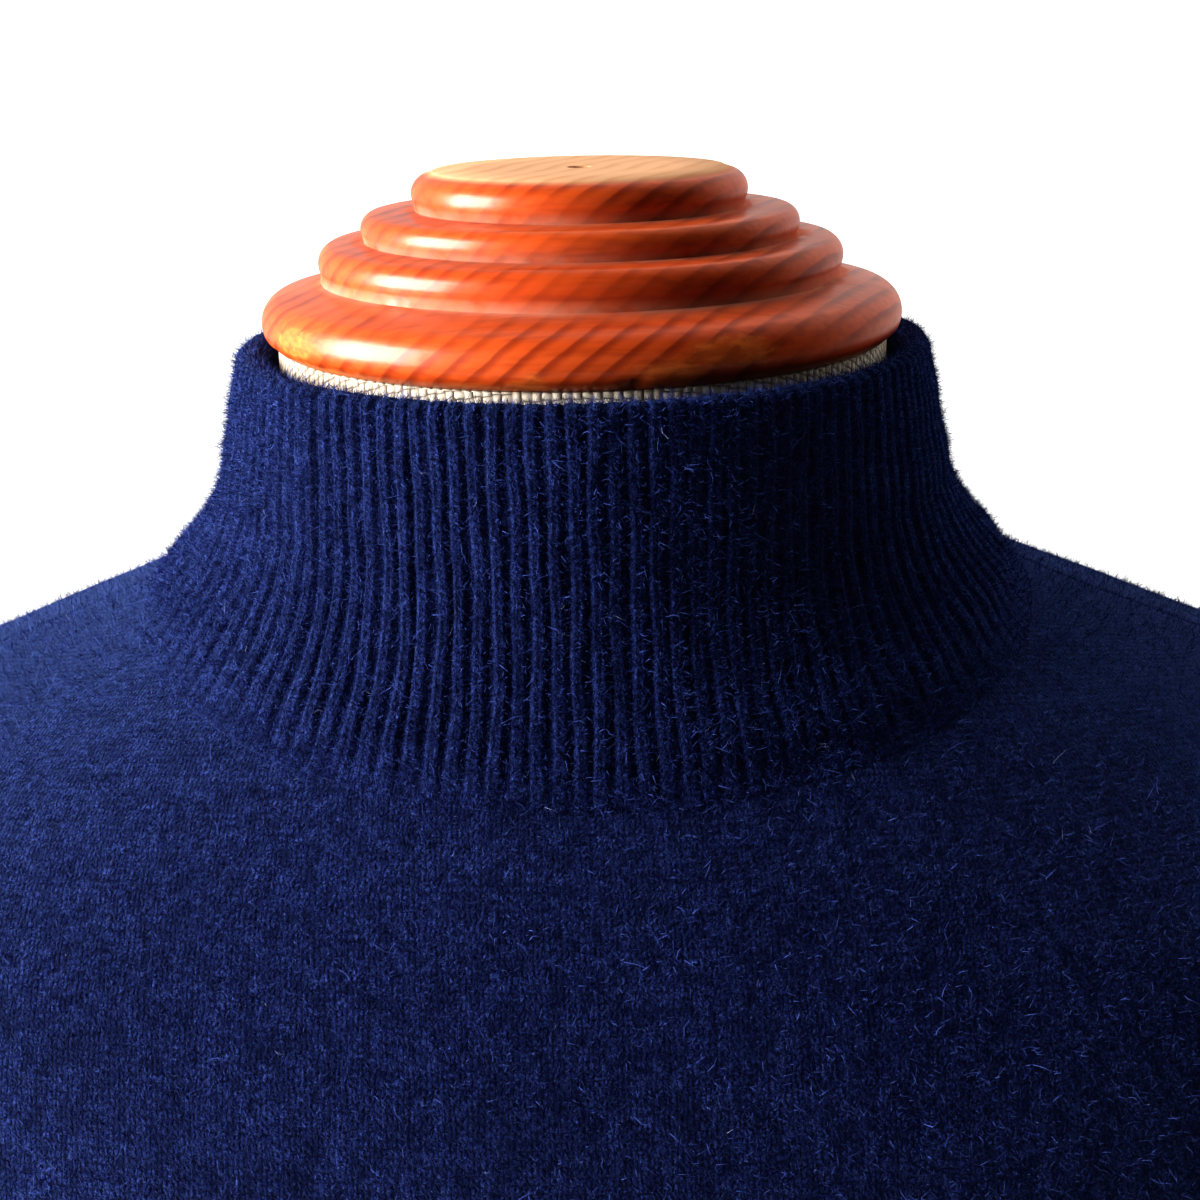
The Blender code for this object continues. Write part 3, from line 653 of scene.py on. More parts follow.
# Folds pressed out of (+) or into (-) the body: the main ones, then the small ones between them.
# Each has its angle, drop, slant, length, width and depth.
BODY_FOLDS = [
    (204, 0.300, 0.50, 0.120, 0.017, 0.0060),
    (219, 0.350, 0.42, 0.110, 0.017, -0.0050),
    (336, 0.296, -0.50, 0.125, 0.017, 0.0056),
    (322, 0.352, -0.40, 0.110, 0.017, -0.0050),
    (233, 0.470, 0.10, 0.130, 0.020, 0.0058),
    (254, 0.510, -0.05, 0.110, 0.019, -0.0048),
    (289, 0.495, 0.05, 0.125, 0.020, 0.0054),
    (309, 0.465, -0.12, 0.115, 0.019, -0.0046),
    (157, 0.310, -0.45, 0.120, 0.017, 0.0056),
    (142, 0.370, -0.30, 0.120, 0.018, -0.0060),
    (23, 0.315, 0.45, 0.120, 0.017, 0.0056),
    (38, 0.375, 0.30, 0.120, 0.018, -0.0060),
    (72, 0.440, 0.05, 0.140, 0.022, 0.0070),
    (104, 0.455, -0.06, 0.140, 0.022, 0.0066),
    (88, 0.500, 0.00, 0.120, 0.019, -0.0055),
    (212, 0.278, 0.70, 0.060, 0.007, 0.0016),
    (196, 0.352, 0.35, 0.070, 0.009, -0.0022),
    (241, 0.405, 0.30, 0.080, 0.010, 0.0020),
    (263, 0.432, 0.05, 0.080, 0.011, 0.0016),
    (224, 0.528, -0.10, 0.060, 0.009, -0.0020),
    (272, 0.545, 0.08, 0.060, 0.010, 0.0018),
    (298, 0.420, -0.20, 0.070, 0.010, -0.0018),
    (330, 0.400, -0.45, 0.080, 0.009, 0.0022),
    (344, 0.360, -0.30, 0.060, 0.008, -0.0020),
    (318, 0.540, 0.10, 0.060, 0.009, 0.0018),
    (150, 0.430, -0.20, 0.080, 0.010, 0.0022),
    (124, 0.400, -0.25, 0.080, 0.010, 0.0020),
    (112, 0.535, 0.06, 0.060, 0.010, -0.0018),
    (60, 0.530, -0.05, 0.060, 0.010, 0.0019),
    (52, 0.405, 0.28, 0.080, 0.010, 0.0021),
    (30, 0.440, 0.22, 0.080, 0.010, 0.0020),
    (168, 0.360, -0.30, 0.060, 0.008, -0.0018),
    (12, 0.365, 0.30, 0.060, 0.008, -0.0018),
]
body_side, body_front, body_back = curves(BODY_EASE)
seam_drop, rim_drop = curves(NECKLINE)
armhole_front, armhole_back = curves(ARMHOLE)


def fold_relief(folds, degrees, drop, radius):
    """The sum of soft folds, each a ridge or trough that fades out along its own line."""
    relief = 0 * degrees + 0 * drop
    for angle, middle, slant, length, width, depth in folds:
        across = radians(1) * ((degrees - angle + 180) % 360 - 180) * radius
        down = drop - middle
        beside = across - slant * down
        relief = relief + depth * np.exp(-((beside / width) ** 2) - (2 * down / length) ** 2)
    return relief


def body_point(angle, drop):
    relief = fold_relief(BODY_FOLDS, np.degrees(angle), drop, form_width(FOLD_LEVEL))
    return section_point(angle, drop, *(ease(drop) + relief for ease in (body_side, body_front, body_back)))


def outward(surface, angle, drop):
    """Unit normals of a surface given by angle and drop, by central differences."""
    turn = 0.004
    fall = 0.0004
    across = surface(angle + turn, drop) - surface(angle - turn, drop)
    down = surface(angle, drop + fall) - surface(angle, np.maximum(drop - fall, 0.0))
    normal = np.cross(down, across)
    return normal / np.linalg.norm(normal, axis=-1, keepdims=True)


def offset(surface, angle, drop, distance):
    return surface(angle, drop) + outward(surface, angle, drop) * np.expand_dims(distance, -1)


def neck_trim(angle):
    """The seam's drop where the collar ends, with angle in radians."""
    return seam_drop(np.degrees(angle) % 360)


def knit_height(uv):
    """Height of stockinette: two slanted legs to each stitch, one stitch to each unit of the UV."""
    u, v, _ = parts_of(uv)
    leg = calc("ABSOLUTE", calc("SUBTRACT", calc("FRACT", u), 0.5))
    along = calc("FRACT", calc("SUBTRACT", v, times(leg, 0.9)))
    loop = calc("POWER", calc("SINE", times(along, pi)), 0.7)
    side = calc("POWER", calc("SINE", times(leg, 2 * pi)), 0.6)
    return times(loop, side)


def felted(place, scale):
    """Thin lines that wander like matted fibres, from 0 between them to 1 along them; the knit paints light
    along them.
    """
    level = cloud(place, scale, 2.0, 0.6)
    beside = calc("ABSOLUTE", calc("SUBTRACT", level, 0.5))
    return spread(beside, 0.0, 0.060, 1.0, 0.0)


def brushed_knit(name, relief, clearness, ribbed):
    """Brushed cashmere yarn: stitches under a haze of matted fibre, with painted light where the nap stands
    up and painted shade low between the loops. In a rib the purl wales between the ridges are painted
    darker, as their shade."""
    finish, tree, shader = new_finish(name, 0.95)
    place = coordinates(tree)
    stitches = coordinates(tree, "stitches")
    loops = shaken(stitches, place, 420.0, 0.6, (0.75, 0.60, 0.0))
    loops = shaken(loops, place, 1700.0, 0.6, (0.55, 0.80, 0.0))
    tufts = cloud(place, 1000.0, 3.0, 0.75)
    height = calc("MULTIPLY_ADD", knit_height(loops), clearness, times(tufts, 1 - clearness))
    matted = calc("MAXIMUM", felted(place, 1500.0), felted(place, 2300.0))
    speckle = cloud(place, 3200.0, 2.0, 0.7)
    broad = cloud(place, 26.0, 3.0)
    patches = streaks(place, (420.0, 420.0, 150.0))
    # Painted shade: the yarn is darker where its height is low, in the hollows between loops and tufts.
    yarn = blend(spread(height, 0.34, 0.66), NAVY_DARK_AND_PAINTED_SHADE, NAVY)
    # Painted light: lighter navy along the matted lines where the tufts stand up.
    lit = times(matted, spread(tufts, 0.42, 0.66, 0.04, 0.60))
    for amount, shade in (
        (lit, NAVY_PALE_AND_PAINTED_LIGHT),
        (spread(speckle, 0.52, 0.72, 0.0, 0.80), NAVY_PALE_AND_PAINTED_LIGHT),
        (spread(speckle, 0.30, 0.50, 0.45, 0.0), NAVY_DARK_AND_PAINTED_SHADE),
        (spread(patches, 0.38, 0.64, 0.0, 0.55), NAVY_DARK_AND_PAINTED_SHADE),
        (spread(broad, 0.35, 0.70, 0.0, 0.22), NAVY_DARK_AND_PAINTED_SHADE),
    ):
        yarn = blend(amount, yarn, shade)
    if ribbed:
        across, along, _ = parts_of(stitches)
        swing = calc("SINE", times(across, pi))
        ragged = calc("MULTIPLY_ADD", tufts, 1.1, calc("SUBTRACT", swing, 0.55))
        # Painted shade: the purl wales between the ridges are darkened, fading out near the seam.
        shaded = spread(ragged, -0.60, 0.40, 0.30, 0.0)
        shaded = times(shaded, spread(along, 0.5, 6.0))
        yarn = blend(shaded, yarn, NAVY_DARK_AND_PAINTED_SHADE)
    fuzz = raise_by(calc("ADD", matted, speckle), 0.00010)
    fill(shader, {
        "Base Color": yarn, "Normal": raise_by(height, relief, fuzz), "Specular IOR Level": 0.05,
        "Sheen Weight": 0.40, "Sheen Roughness": 0.40, "Sheen Tint": NAVY_SHEEN,
    })
    return finish


def loose_fibre():
    """The standing fibres: mostly navy, some lighter, and a few pale or reddish strays."""
    finish, tree, shader = new_finish("standing cashmere fibre", 0.9)
    shade, _, _ = parts_of(coordinates(tree, "shade"))
    colour = blend(spread(shade, 0.25, 1.0, 0.0, 0.75), NAVY, NAVY_PALE_AND_PAINTED_LIGHT)
    colour = blend(spread(shade, PALE_SHADE - 0.0002, PALE_SHADE + 0.0002), colour, FIBRE_PALE)
    colour = blend(spread(shade, RED_SHADE - 0.00005, RED_SHADE + 0.00005), colour, FIBRE_RED)
    fill(shader, {
        "Base Color": colour, "Specular IOR Level": 0.1,
        "Sheen Weight": 0.3, "Sheen Roughness": 0.4, "Sheen Tint": NAVY_SHEEN,
    })
    return finish


def unit(vectors):
    return vectors / np.maximum(np.linalg.norm(vectors, axis=-1, keepdims=True), 1e-12)


def blades(root, joints, half):
    """Thin blades from their roots through their joints, narrowing to a point: points and faces."""
    stations = [root] + joints[:-1]
    narrow = np.linspace(1.0, 0.7, len(stations))
    edges = [at + way * half * share for at, share in zip(stations, narrow) for way in (-1, 1)]
    points = np.stack(edges + [joints[-1]], axis=1)
    size = points.shape[1]
    first = np.arange(len(root))[:, None] * size
    faces = [first + np.array([2 * k, 2 * k + 1, 2 * k + 3, 2 * k + 2]) for k in range(len(joints) - 1)]
    return points.reshape(-1, 3), faces + [first + np.array([size - 3, size - 2, size - 1])]


def nap(name, rows, normals, fuzz, fibres, length, seed, weight=None):
    """The brushed surface of a grid of cloth: short fuzz, longer curved fibres and a few strays
    that lie along the cloth."""
    random = np.random.default_rng(seed)
    side = rows[:-1, 1:] - rows[:-1, :-1]
    rise = rows[1:, :-1] - rows[:-1, :-1]
    chance = np.linalg.norm(np.cross(side, rise), axis=2)
    if weight is not None:
        chance = chance * weight(rows[:-1, :-1])
    chance = (chance / chance.sum()).ravel()
    points, faces, shades, used = [], [], [], 0
    counts = (fuzz, fibres, fibres // FIBRES_TO_A_STRAY)
    for count, (share, splay, joints_wanted, wide) in zip(counts, FIBRE_KINDS):
        reach = share * length
        row, column = np.unravel_index(random.choice(chance.size, size=count, p=chance), side.shape[:2])
        across, up = random.random((2, count, 1))
        root = rows[row, column] + side[row, column] * across + rise[row, column] * up
        normal = unit(normals[row, column])
        root = root - normal * ROOT_DEPTH
        lean = unit(normal + random.normal(0, splay, (count, 3)))
        lean = np.where((lean * normal).sum(axis=1, keepdims=True) < 0.12, unit(lean + normal), lean)
        long = np.minimum(reach * random.gamma(3.0, 1 / 3.0, (count, 1)), 2.4 * reach)
        joints, at, way = [], root, lean
        for _ in range(joints_wanted):
            at = at + way * long / joints_wanted
            joints.append(at)
            way = unit(way + random.normal(0, 0.55, (count, 3)) + np.array([0, 0, -0.10]))
        flat = unit(np.cross(lean, random.normal(0, 1, (count, 3))))
        made, corners = blades(root, joints, flat * wide * random.uniform(0.7, 1.3, (count, 1)))
        shade = random.random(count) if joints_wanted < 4 else np.full(count, 0.999)
        points.append(made)
        faces += [(group + used).tolist() for group in corners]
        shades += [np.repeat(shade, group.shape[1]) for group in corners]
        used += len(made)
    shade = np.concatenate(shades)
    return add_piece(
        name, np.concatenate(points), [face for group in faces for face in group], fibre_finish,
        {"shade": np.stack([shade, shade], axis=1)},
    )


def grid_normals(rows):
    """Unit normals of a grid, outward where its rows run anticlockwise and stack upward."""
    return unit(np.cross(np.gradient(rows, axis=1), np.gradient(rows, axis=0)))


def wall(name, outer, inner, closed, finish, stitches, flip=False):
    """A closed cloth wall from its outer and inner rows, both from the bottom up.
    stitches gives the UV of the outer and of the inner rows."""
    loop = np.concatenate([outer, inner[::-1]])
    rows, columns = loop.shape[:2]
    corners = grid_corners(rows, columns, True, closed)
    uv = np.concatenate([stitches[0], stitches[1][::-1], stitches[0][:1]])
    uv_corners = grid_corners(rows + 1, uv.shape[1], False, False)
    if not closed:
        across = np.arange(len(outer) - 1) * columns
        opposite = (rows - 1 - np.arange(len(outer) - 1)) * columns
        start = np.stack([across, across + columns, opposite - columns, opposite], axis=1)
        end = (start + columns - 1)[:, ::-1]
        corners = np.concatenate([corners, start, end])
        near = np.stack([across, across + columns, across + columns, across], axis=1)
        uv_corners = np.concatenate([uv_corners, near, (near + columns - 1)[:, ::-1]])
    if flip:
        corners = corners[:, ::-1]
        uv_corners = uv_corners[:, ::-1]
    maps = {"stitches": uv.reshape(-1, 2)[uv_corners.ravel()]}
    return add_piece(name, loop, corners.tolist(), finish, maps)


def panel_lines(front):
    """Angles and drops of a panel's grid, from the hem upward, with a few close columns at each side."""
    start, cut = (pi, armhole_front) if front else (0.0, armhole_back)
    close = np.array([0.0, 0.25, 0.6, 1.2]) * PANEL_EDGE
    even = np.linspace(2.2 * PANEL_EDGE, 1 - 2.2 * PANEL_EDGE, PANEL_COLUMNS)
    share = np.concatenate([close, even, 1 - close[::-1]])
    low = HEM_TOP - SEAM_GAP
    drops = np.concatenate([low - EDGE_SHIFTS, np.linspace(low - 0.005, UNDERARM + 0.004, 50)])
    lines = [(start + share * pi, np.full(len(share), drop)) for drop in drops]
    for turn in np.linspace(0.0, pi, 36):
        drop = (UNDERARM + SHOULDER_TIP) / 2 + (UNDERARM - SHOULDER_TIP) / 2 * cos(turn)
        inset = radians(cut(drop))
        lines.append((start + inset + share * (pi - 2 * inset), np.full(len(share), drop)))
    angle = start + share * pi
    neck = neck_trim(angle) + SEAM_GAP
    for height in list(np.linspace(0.965, 0.045, 24)) + [0.030, 0.015, 0.006, 0.0]:
        lines.append((angle, neck + (SHOULDER_TIP - neck) * height))
    return lines


def lip_of(rows):
    """How far the cloth turns in toward its side and bottom seams."""
    along = lengths_along(rows)
    reach = np.minimum(np.minimum(along, along[:, -1:] - along), lengths_up(rows))
    return LIP * np.exp(-((reach / LIP_REACH) ** 2))


def panel(name, front):
    angles, drops = (np.array(lines) for lines in zip(*panel_lines(front)))
    inner = offset(body_point, angles, drops, 0 * angles + CLEARANCE)
    normal = outward(body_point, angles, drops)
    for edge, beside in ((0, 1), (-1, -2)):
        inner[:, edge, 1] += np.sign(inner[:, beside, 1] - inner[:, edge, 1]) * SEAM_GAP
    outer = inner + normal * (JERSEY - lip_of(inner))[..., None]
    places = cloth_places(outer) / (WALE, COURSE)
    knit = wall(name, outer, inner, False, jersey_finish, (places, places))
    return knit, outer


def yoke_weight(points):
    """Fibres stand thickest round the collar and on the shoulders, where the cloth is seen closest."""
    drop = NECK_HEIGHT - points[..., 2]
    near = np.where(points[..., 1] < 0.03, 1.0, 0.35)
    return near * (0.10 + 0.90 * np.clip((0.155 - drop) / 0.04, 0, 1))


jersey_finish = brushed_knit("brushed navy jersey", 0.00048, 0.48, False)
fibre_finish = loose_fibre()
front_piece, front_rows = panel("front_jersey", True)
back_piece, back_rows = panel("back_jersey", False)
front_nap = nap("front_nap", front_rows, grid_normals(front_rows), 140000, 17000, 0.0012, 11, yoke_weight)
back_nap = nap("back_nap", back_rows, grid_normals(back_rows), 38000, 5500, 0.0012, 12, yoke_weight)
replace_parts(front_piece, "sweater_front")
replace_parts(back_piece, "sweater_back")


# Collar
# A doubled 1x1 rib, knitted in the round, folded at the rim and linked to the neckline on both faces.
# It fits the form's neck closely and flares over the shoulders, so its ribs spread toward the seam.

COLLAR = 0.0046
COLLAR_RIBS = 124
RIB_RELIEF = 0.0009
FRONT_CROWDING = -0.18
SEAM_PUCKER = 0.0012

# How far the collar stands off the form: drop, then at the sides, in front and behind
COLLAR_EASE = [
    (0.000, 0.0012, 0.0016, 0.0012),
    (0.006, 0.0023, 0.0024, 0.0018),
    (0.013, 0.0037, 0.0030, 0.0020),
    (0.020, 0.0036, 0.0036, 0.0020),
    (0.028, 0.0024, 0.0036, 0.0016),
    (0.036, 0.0011, 0.0031, 0.0010),
    (0.044, 0.0002, 0.0022, 0.0003),
    (0.047, 0.0000, 0.0017, 0.0000),
    (0.063, 0.0000, 0.0000, 0.0000),
]

# Across one rib: where each column lies, how high it stands, and its place in stitches
RIB = [
    (0.00, 0.00, -0.50),
    (0.12, 0.30, 0.00),
    (0.23, 0.76, 0.16),
    (0.35, 1.00, 0.32),
    (0.49, 0.70, 0.50),
    (0.63, 0.94, 0.68),
    (0.76, 0.74, 0.84),
    (0.88, 0.30, 1.00),
]
collar_side, collar_front, collar_back = curves(COLLAR_EASE)


def collar_point(angle, drop):
    return section_point(angle, drop, collar_side(drop), collar_front(drop), collar_back(drop))


def rib_columns(ribs, seed):
    """Shares of the way round, heights and stitch counts of a ring of ribs, each unlike the next."""
    random = np.random.default_rng(seed)
    across, height, stitch = np.array(RIB).T
    whole = np.arange(ribs)[:, None]
    share = (whole + across + random.normal(0, 0.03, (ribs, 1))) / ribs
    ridge = height * random.uniform(0.80, 1.12, (ribs, 1))
    stitches = np.append((whole * 2 + stitch).ravel(), 2 * ribs + stitch[0])
    return share.ravel(), ridge.ravel(), stitches


def collar_drop(angle, height):
    """The drop at a share of the way from the collar's seam up to where its fold starts."""
    low = neck_trim(angle) - SEAM_GAP
    high = rim_drop(np.degrees(angle) % 360) + COLLAR / 2
    return low + (high - low) * height


def evenly_round(share, height):
    """Angles from the back that space columns evenly round the collar at one height.
    Its ribs run straight down over the front and fan out over the shoulders."""
    turn = np.linspace(pi / 2, 5 * pi / 2, 721)
    ring = collar_point(turn, collar_drop(turn, height))
    along = np.concatenate([[0.0], np.cumsum(np.linalg.norm(np.diff(ring, axis=0), axis=1))])
    return np.interp(share % 1.0 * along[-1], along, turn)


def rib_places(rows, stitches):
    """Stitch UVs of a ring of ribs: counted across, measured along."""
    up = lengths_up(shut(rows)) / COURSE
    return np.stack([stitches + 0 * up, up], axis=-1)


def rib_wall(name, outer, inner, stitches, flip=False):
    places = (rib_places(outer, stitches), rib_places(inner, stitches))
    return wall(name, outer, inner, True, rib_finish, places, flip)


def collar():
    """The collar's wall. Its seam lies flush with the panels, but for a pucker at the viewer's left."""
    share, ridge, stitches = rib_columns(COLLAR_RIBS, 21)
    fold = COLLAR / 2
    rib = np.floor(share * COLLAR_RIBS)
    heights = np.concatenate([[0.0, 0.008, 0.02, 0.04, 0.065], np.linspace(0.095, 1.0, 34)])
    outer = []
    for height in heights:
        waver = 0.05 * np.sin(rib * 2.4 + height * 9.0) + 0.04 * np.sin(rib * 1.1 - height * 17.0)
        crowd = FRONT_CROWDING * (1 - height) * np.sin(4 * pi * share) / (4 * pi)
        turn = evenly_round(share + crowd + waver / COLLAR_RIBS, height)
        rise = min(1.0, height / 0.12)
        stand_off = 0.75 * collar_front(collar_drop(turn, height)) * np.maximum(0.0, -np.sin(turn))
        puckered = SEAM_PUCKER * np.maximum(0.0, np.sin(share * 2 * pi)) ** 2
        seam_depth = JERSEY + 0.0001 - stand_off + puckered
        thick = seam_depth + (COLLAR - seam_depth) * rise * rise * (3 - 2 * rise)
        uneven = 1 + 0.14 * np.sin(rib * 1.7 + height * 13.0) * np.sin(rib * 0.6 + height * 5.0)
        standing = RIB_RELIEF * ridge * uneven * min(1.0, height / 0.10)
        outer.append(offset(collar_point, turn, collar_drop(turn, height), CLEARANCE + thick + standing))
    high = collar_drop(turn, 1.0)
    normal = outward(collar_point, turn, high)
    rim = collar_point(turn, high)
    for tilt in range(15, 180, 15):
        around = radians(tilt)
        stand = fold + RIB_RELIEF * ridge * max(0.0, 0.5 + 0.5 * cos(radians(tilt * 1.25)))
        reach = CLEARANCE + fold + stand * cos(around)
        lift = stand * sin(around)
        outer.append(rim + normal * reach[:, None] + np.array([0, 0, 1]) * lift[:, None])
    inner = []
    for height in np.linspace(0.0, 1.0, 7):
        turn = evenly_round(share, height)
        inner.append(offset(collar_point, turn, collar_drop(turn, height), CLEARANCE + 0 * turn))
    outer = np.array(outer)
    return rib_wall("collar_rib", outer, np.array(inner), stitches), outer


def collar_weight(points):
    return np.where(points[..., 1] < 0.02, 1.0, 0.4)


rib_finish = brushed_knit("brushed navy rib", 0.00042, 0.50, True)
collar_piece, collar_rows = collar()
collar_nap = nap(
    "collar_nap", collar_rows, grid_normals(collar_rows), 134000, 20000, 0.0011, 13, collar_weight
)
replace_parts(collar_piece, "collar")


# Sleeves
# Two stockinette tubes set into the armholes. They hang empty beside the body, flattened by their
# own weight, and their heads stand out a little where the seam is linked to the shoulder.

SLEEVE_HEAD_END = 0.2620
CUFF_TOP = 0.6120
SLEEVE_COLUMNS = 96
SLEEVE_POWER = 2.3
SLEEVE_RADIUS = 0.045

# Rings of the sleeve: drop, how far out its two sides are, half width, and how far back its middle
SLEEVE = [
    (0.2620, 0.1700, 0.2120, 0.0770, 0.000),
    (0.3000, 0.1710, 0.2090, 0.0750, -0.001),
    (0.3450, 0.1720, 0.2070, 0.0715, -0.003),
    (0.3900, 0.1725, 0.2070, 0.0680, -0.006),
    (0.4400, 0.1735, 0.2055, 0.0645, -0.009),
    (0.4900, 0.1760, 0.2045, 0.0610, -0.012),
    (0.5400, 0.1790, 0.2050, 0.0575, -0.014),
    (0.5800, 0.1800, 0.2050, 0.0550, -0.015),
    (0.6120, 0.1815, 0.2035, 0.0490, -0.016),
    (0.6300, 0.1820, 0.2025, 0.0465, -0.016),
    (0.6760, 0.1825, 0.2020, 0.0455, -0.017),
]

# Creases of a sleeve: 0 is its outer side, 90 its front edge, 180 the side near the body
SLEEVE_FOLDS = [
    (40, 0.305, 0.60, 0.110, 0.016, 0.0048),
    (-35, 0.330, -0.50, 0.110, 0.016, -0.0046),
    (30, 0.395, -0.60, 0.090, 0.014, -0.0050),
    (-30, 0.415, 0.60, 0.090, 0.014, 0.0045),
    (25, 0.455, 0.50, 0.090, 0.014, 0.0042),
    (-20, 0.520, -0.40, 0.090, 0.014, -0.0036),
    (35, 0.560, 0.30, 0.070, 0.013, -0.0034),
    (0, 0.285, 0.30, 0.050, 0.008, 0.0014),
    (-50, 0.372, -0.40, 0.050, 0.008, 0.0016),
    (55, 0.350, 0.50, 0.050, 0.008, -0.0015),
    (5, 0.430, -0.70, 0.050, 0.008, -0.0016),
    (45, 0.500, -0.60, 0.050, 0.008, 0.0015),
    (-45, 0.480, 0.50, 0.050, 0.008, -0.0014),
    (0, 0.575, 0.80, 0.045, 0.007, 0.0013),
    (-40, 0.590, -0.70, 0.040, 0.007, 0.0012),
]
sleeve_inner, sleeve_outer, sleeve_half_width, sleeve_centre = curves(SLEEVE)


def sleeve_ring(turn, drop, inset):
    """A ring of the hanging sleeve, turned from its outer side over the front edge."""
    relief = fold_relief(SLEEVE_FOLDS, np.degrees(turn), drop, SLEEVE_RADIUS) - inset
    inner = sleeve_inner(drop) + inset
    outer = sleeve_outer(drop) + relief
    round_off = 2 / SLEEVE_POWER
    x = (inner + outer) / 2 + (outer - inner) / 2 * signed_power(np.cos(turn), round_off)
    y = sleeve_centre(drop) - (sleeve_half_width(drop) - inset) * signed_power(np.sin(turn), round_off)
    return np.stack([x, y, NECK_HEIGHT - drop + 0 * x], axis=-1)


def armhole_ring(distance):
    """The armhole's edge at a distance off the form, from the shoulder down the front and back up."""
    middle = (UNDERARM + SHOULDER_TIP) / 2
    half = (UNDERARM - SHOULDER_TIP) / 2
    turn = full_turn(SLEEVE_COLUMNS)
    drop = middle - half * np.cos(turn)
    angle = np.where(turn < pi, 2 * pi - np.radians(armhole_front(drop)), np.radians(armhole_back(drop)))
    ring = offset(body_point, angle, drop, np.full(len(angle), distance))
    normal = outward(body_point, angle, drop)
    along = np.roll(ring, -1, axis=0) - np.roll(ring, 1, axis=0)
    away = unit(np.cross(normal, along))
    away *= np.sign((away * (ring.mean(axis=0) - ring)).sum(axis=1))[:, None]
    return ring + away * SEAM_GAP, away


def sleeve_face():
    """The outer face of a right sleeve from the cuff upward: a hanging tube, then its head."""
    edge, away = armhole_ring(CLEARANCE + JERSEY)
    turn = full_turn(SLEEVE_COLUMNS)
    low = CUFF_TOP - SEAM_GAP
    drops = np.concatenate([low - EDGE_SHIFTS, np.linspace(low - 0.005, SLEEVE_HEAD_END, 72)])
    rows = [sleeve_ring(turn, np.full(SLEEVE_COLUMNS, drop), 0.0) for drop in drops]
    hang = rows[-1]
    reach = np.linalg.norm(hang - edge, axis=1)[:, None]
    leave = away * reach * 0.9
    arrive = np.array([0, 0, -0.9]) * reach
    for t in list(np.linspace(0.96, 0.04, 24)) + [0.020, 0.008, 0.003, 0.0]:
        rows.append(
            edge * (1 + 2 * t) * (1 - t) ** 2
            + hang * t * t * (3 - 2 * t)
            + leave * t * (1 - t) ** 2
            - arrive * t * t * (1 - t)
        )
    return np.array(rows)


def tube_normals(face):
    """Unit normals of a tube's rings, away from its middle."""
    across = np.roll(face, -1, axis=1) - np.roll(face, 1, axis=1)
    normal = unit(np.cross(across, np.gradient(face, axis=0)))
    away = (normal[0] * (face[0] - face[0].mean(axis=0))).sum()
    return normal * np.sign(away)


def sleeve(name, side, seed):
    face = sleeve_face()
    normal = tube_normals(face)
    inner = face - normal * JERSEY
    inner[0, :, 2] = face[0, :, 2]
    inner[-1] = armhole_ring(CLEARANCE)[0]
    up = lengths_up(face)
    turned_in = LIP * (np.exp(-((up / LIP_REACH) ** 2)) + np.exp(-(((up[-1:] - up) / LIP_REACH) ** 2)))
    outer = face - normal * turned_in[..., None]
    outer, inner, normal = (
        np.roll(grid, SLEEVE_COLUMNS // 2, axis=1) * (side, 1, 1) for grid in (outer, inner, normal)
    )
    places = cloth_places(shut(outer)) / (WALE, COURSE)
    sparse = np.unique(np.append(np.arange(0, len(inner), 3), len(inner) - 1))
    lined = (places, places[sparse])
    knit = wall(name, outer, inner[sparse], True, jersey_finish, lined, side > 0)
    fibres = nap(name.replace("jersey", "nap"), outer, normal, 9000, 1800, 0.0012, seed, yoke_weight)
    return knit


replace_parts(sleeve("sleeve_left_jersey", -1, 31), "sleeve_left")
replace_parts(sleeve("sleeve_right_jersey", 1, 32), "sleeve_right")


# Hem rib and cuffs
# Single 1x1 rib bands, linked to the bottom of the body and of each sleeve. They draw the cloth in
# a little and are brushed like the rest.

HEM_END = 0.6520
CUFF_END = 0.6760
RIB_BAND = 0.0026
HEM_RIBS = 268
CUFF_RIBS = 56


def band_lines(top, end):
    """Drops of a band's outer face with how far it stands out there, from 0 to 1."""
    drops = [end, end, end - 0.0005, end - 0.0015, end - 0.004]
    stand = [0.25, 0.60, 0.88, 1.0, 1.0]
    even = list(np.linspace(end - 0.014, top + 0.010, 4))
    drops += even + [top + 0.003, top + 0.0012, top + 0.0004, top]
    stand += [1.0] * len(even) + [1.0, 0.9, 0.65, 0.45]
    return drops, stand


def band(name, face, ribs, seed, start, top, end, lining, mirror=(1, 1, 1), flip=False):
    """A rib band's wall and its outer rows, on a face given by turn, drop and depth of cloth.
    lining gives the drops of the inner rows."""
    share, ridge, stitches = rib_columns(ribs, seed)
    turn = share * 2 * pi + start
    drops, stand = band_lines(top, end)
    depth = RIB_BAND + RIB_RELIEF * ridge
    outer = np.array([face(turn, 0 * turn + drop, depth * out) for drop, out in zip(drops, stand)])
    inner = np.array([face(turn, 0 * turn + drop, 0 * turn) for drop in lining])
    return rib_wall(name, outer * mirror, inner * mirror, stitches, flip), outer


def hem_face(turn, drop, depth):
    return offset(body_point, turn, drop, CLEARANCE + depth)


def cuff_face(turn, drop, depth):
    return sleeve_ring(turn, drop, RIB_BAND + RIB_RELIEF - depth)


def cuff(name, side, seed):
    top = CUFF_TOP + SEAM_GAP
    lining = (CUFF_END, CUFF_END - 0.02, CUFF_END - 0.04, top)
    mirror = np.array([side, 1, 1])
    made, outer = band(name, cuff_face, CUFF_RIBS, seed, 0.0, top, CUFF_END, lining, mirror, side > 0)
    fibres = nap(name + "_nap", outer * mirror, tube_normals(outer) * mirror, 2200, 600, 0.0010, seed + 5)
    return made


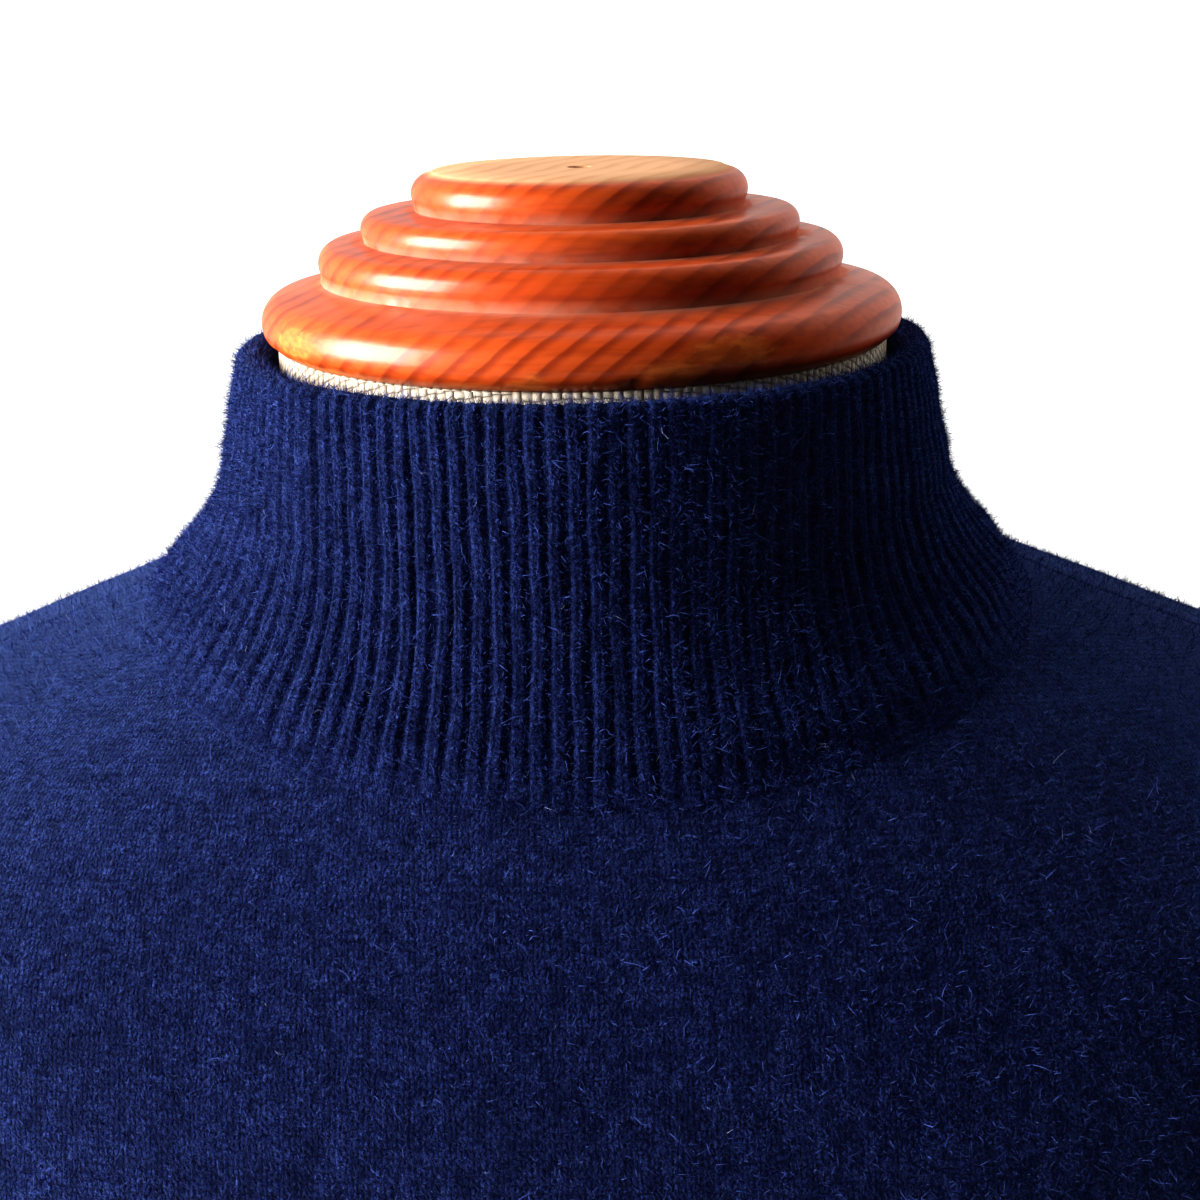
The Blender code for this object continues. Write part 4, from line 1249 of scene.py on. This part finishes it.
hem_top = HEM_TOP + SEAM_GAP
hem_lining = (HEM_END, HEM_END - 0.03, hem_top)
hem_piece, hem_rows = band("hem_band", hem_face, HEM_RIBS, 41, pi / 2, hem_top, HEM_END, hem_lining)
hem_nap = nap("hem_nap", hem_rows, grid_normals(hem_rows), 8000, 2400, 0.0010, 42)
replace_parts(hem_piece, "hem_rib")
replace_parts(cuff("cuff_left_band", -1, 51), "cuff_left")
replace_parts(cuff("cuff_right_band", 1, 52), "cuff_right")


# Floor, light and camera
# A pale round floor under a white surround, one large soft light at the viewer's left like a
# window, and weak ones in front, above and behind. The camera stands where the photo was taken.

FLOOR_RADIUS = 2.2
FLOOR_STEPS = 96
WALL_GLOW = 0.60
FRONT_GLOW = 0.015
SEEN_GLOW = 1.06
CAMERA_DISTANCE = 0.350
CAMERA_RISE = 0.0594
CAMERA_TILT = 17.88
CAMERA_ROLL = 1.12
CAMERA_TURN = -0.38
FOCAL_PIXELS = 1843
PHOTO_PIXELS = 1200
SENSOR = 36.0


def soft_light(name, place, width, height, power, colour, mirrored=True):
    """A rectangle of light turned toward the collar, which may be left out of reflections."""
    lamp = bpy.data.lights.new(name, "AREA")
    lamp.shape = "RECTANGLE"
    lamp.size = width
    lamp.size_y = height
    lamp.energy = power
    lamp.color = colour
    holder = add_object(name, lamp)
    holder.location = place
    holder.visible_glossy = mirrored
    aim = Vector((0, 0, NECK_HEIGHT - 0.03)) - Vector(place)
    holder.rotation_euler = aim.to_track_quat("-Z", "Y").to_euler()


def white_room():
    """A room that is white to the eye. Its wall behind the form gives light, its front hardly any."""
    world = bpy.data.worlds.new("white room")
    world.use_nodes = True
    tree = world.node_tree
    seen = tree.nodes.new("ShaderNodeLightPath").outputs["Is Camera Ray"]
    _, behind, _ = parts_of(tree.nodes.new("ShaderNodeTexCoord").outputs["Generated"])
    glow = spread(behind, -0.30, 0.75, FRONT_GLOW, WALL_GLOW)
    strength = calc("MAXIMUM", glow, times(seen, SEEN_GLOW))
    fill(tree.nodes["Background"], {"Color": (1.0, 1.0, 0.985, 1.0), "Strength": strength})
    bpy.context.scene.world = world


floor_turn = full_turn(FLOOR_STEPS)
floor_edge = FLOOR_RADIUS * np.stack([np.cos(floor_turn), np.sin(floor_turn), 0 * floor_turn], axis=1)
floor_mesh = bpy.data.meshes.new("floor")
floor_mesh.from_pydata(floor_edge.tolist(), [], [list(range(FLOOR_STEPS))])
floor_finish, _, floor_shader = new_finish("pale floor", 0.8)
floor_shader.inputs["Base Color"].default_value = (0.80, 0.79, 0.77, 1.0)
floor_mesh.materials.append(floor_finish)
add_object("floor", floor_mesh)

white_room()
soft_light("window light", (-1.72, -0.36, 1.34), 1.2, 1.5, 118.0, (1.0, 0.99, 0.97))
soft_light("room light", (0.3, -2.0, 1.8), 1.6, 1.2, 1.2, (1.0, 0.95, 0.90))
soft_light("ceiling light", (0.55, 0.60, 2.30), 1.6, 1.6, 7.0, (1.0, 0.98, 0.95), False)
soft_light("far wall light", (1.25, 1.05, 1.30), 1.6, 1.4, 22.0, (1.0, 1.0, 1.0), False)

lens = bpy.data.cameras.new("camera")
lens.sensor_width = SENSOR
lens.lens = FOCAL_PIXELS / PHOTO_PIXELS * SENSOR
lens.clip_start = 0.01
camera = add_object("camera", lens)
camera.matrix_world = (
    Matrix.Translation((0, -CAMERA_DISTANCE, NECK_HEIGHT + CAMERA_RISE))
    @ Matrix.Rotation(radians(CAMERA_TURN), 4, "Z")
    @ Matrix.Rotation(radians(90 - CAMERA_TILT), 4, "X")
    @ Matrix.Rotation(radians(-CAMERA_ROLL), 4, "Z")
)
scene = bpy.context.scene
scene.camera = camera
scene.view_settings.view_transform = "Standard"
scene.view_settings.look = "High Contrast"
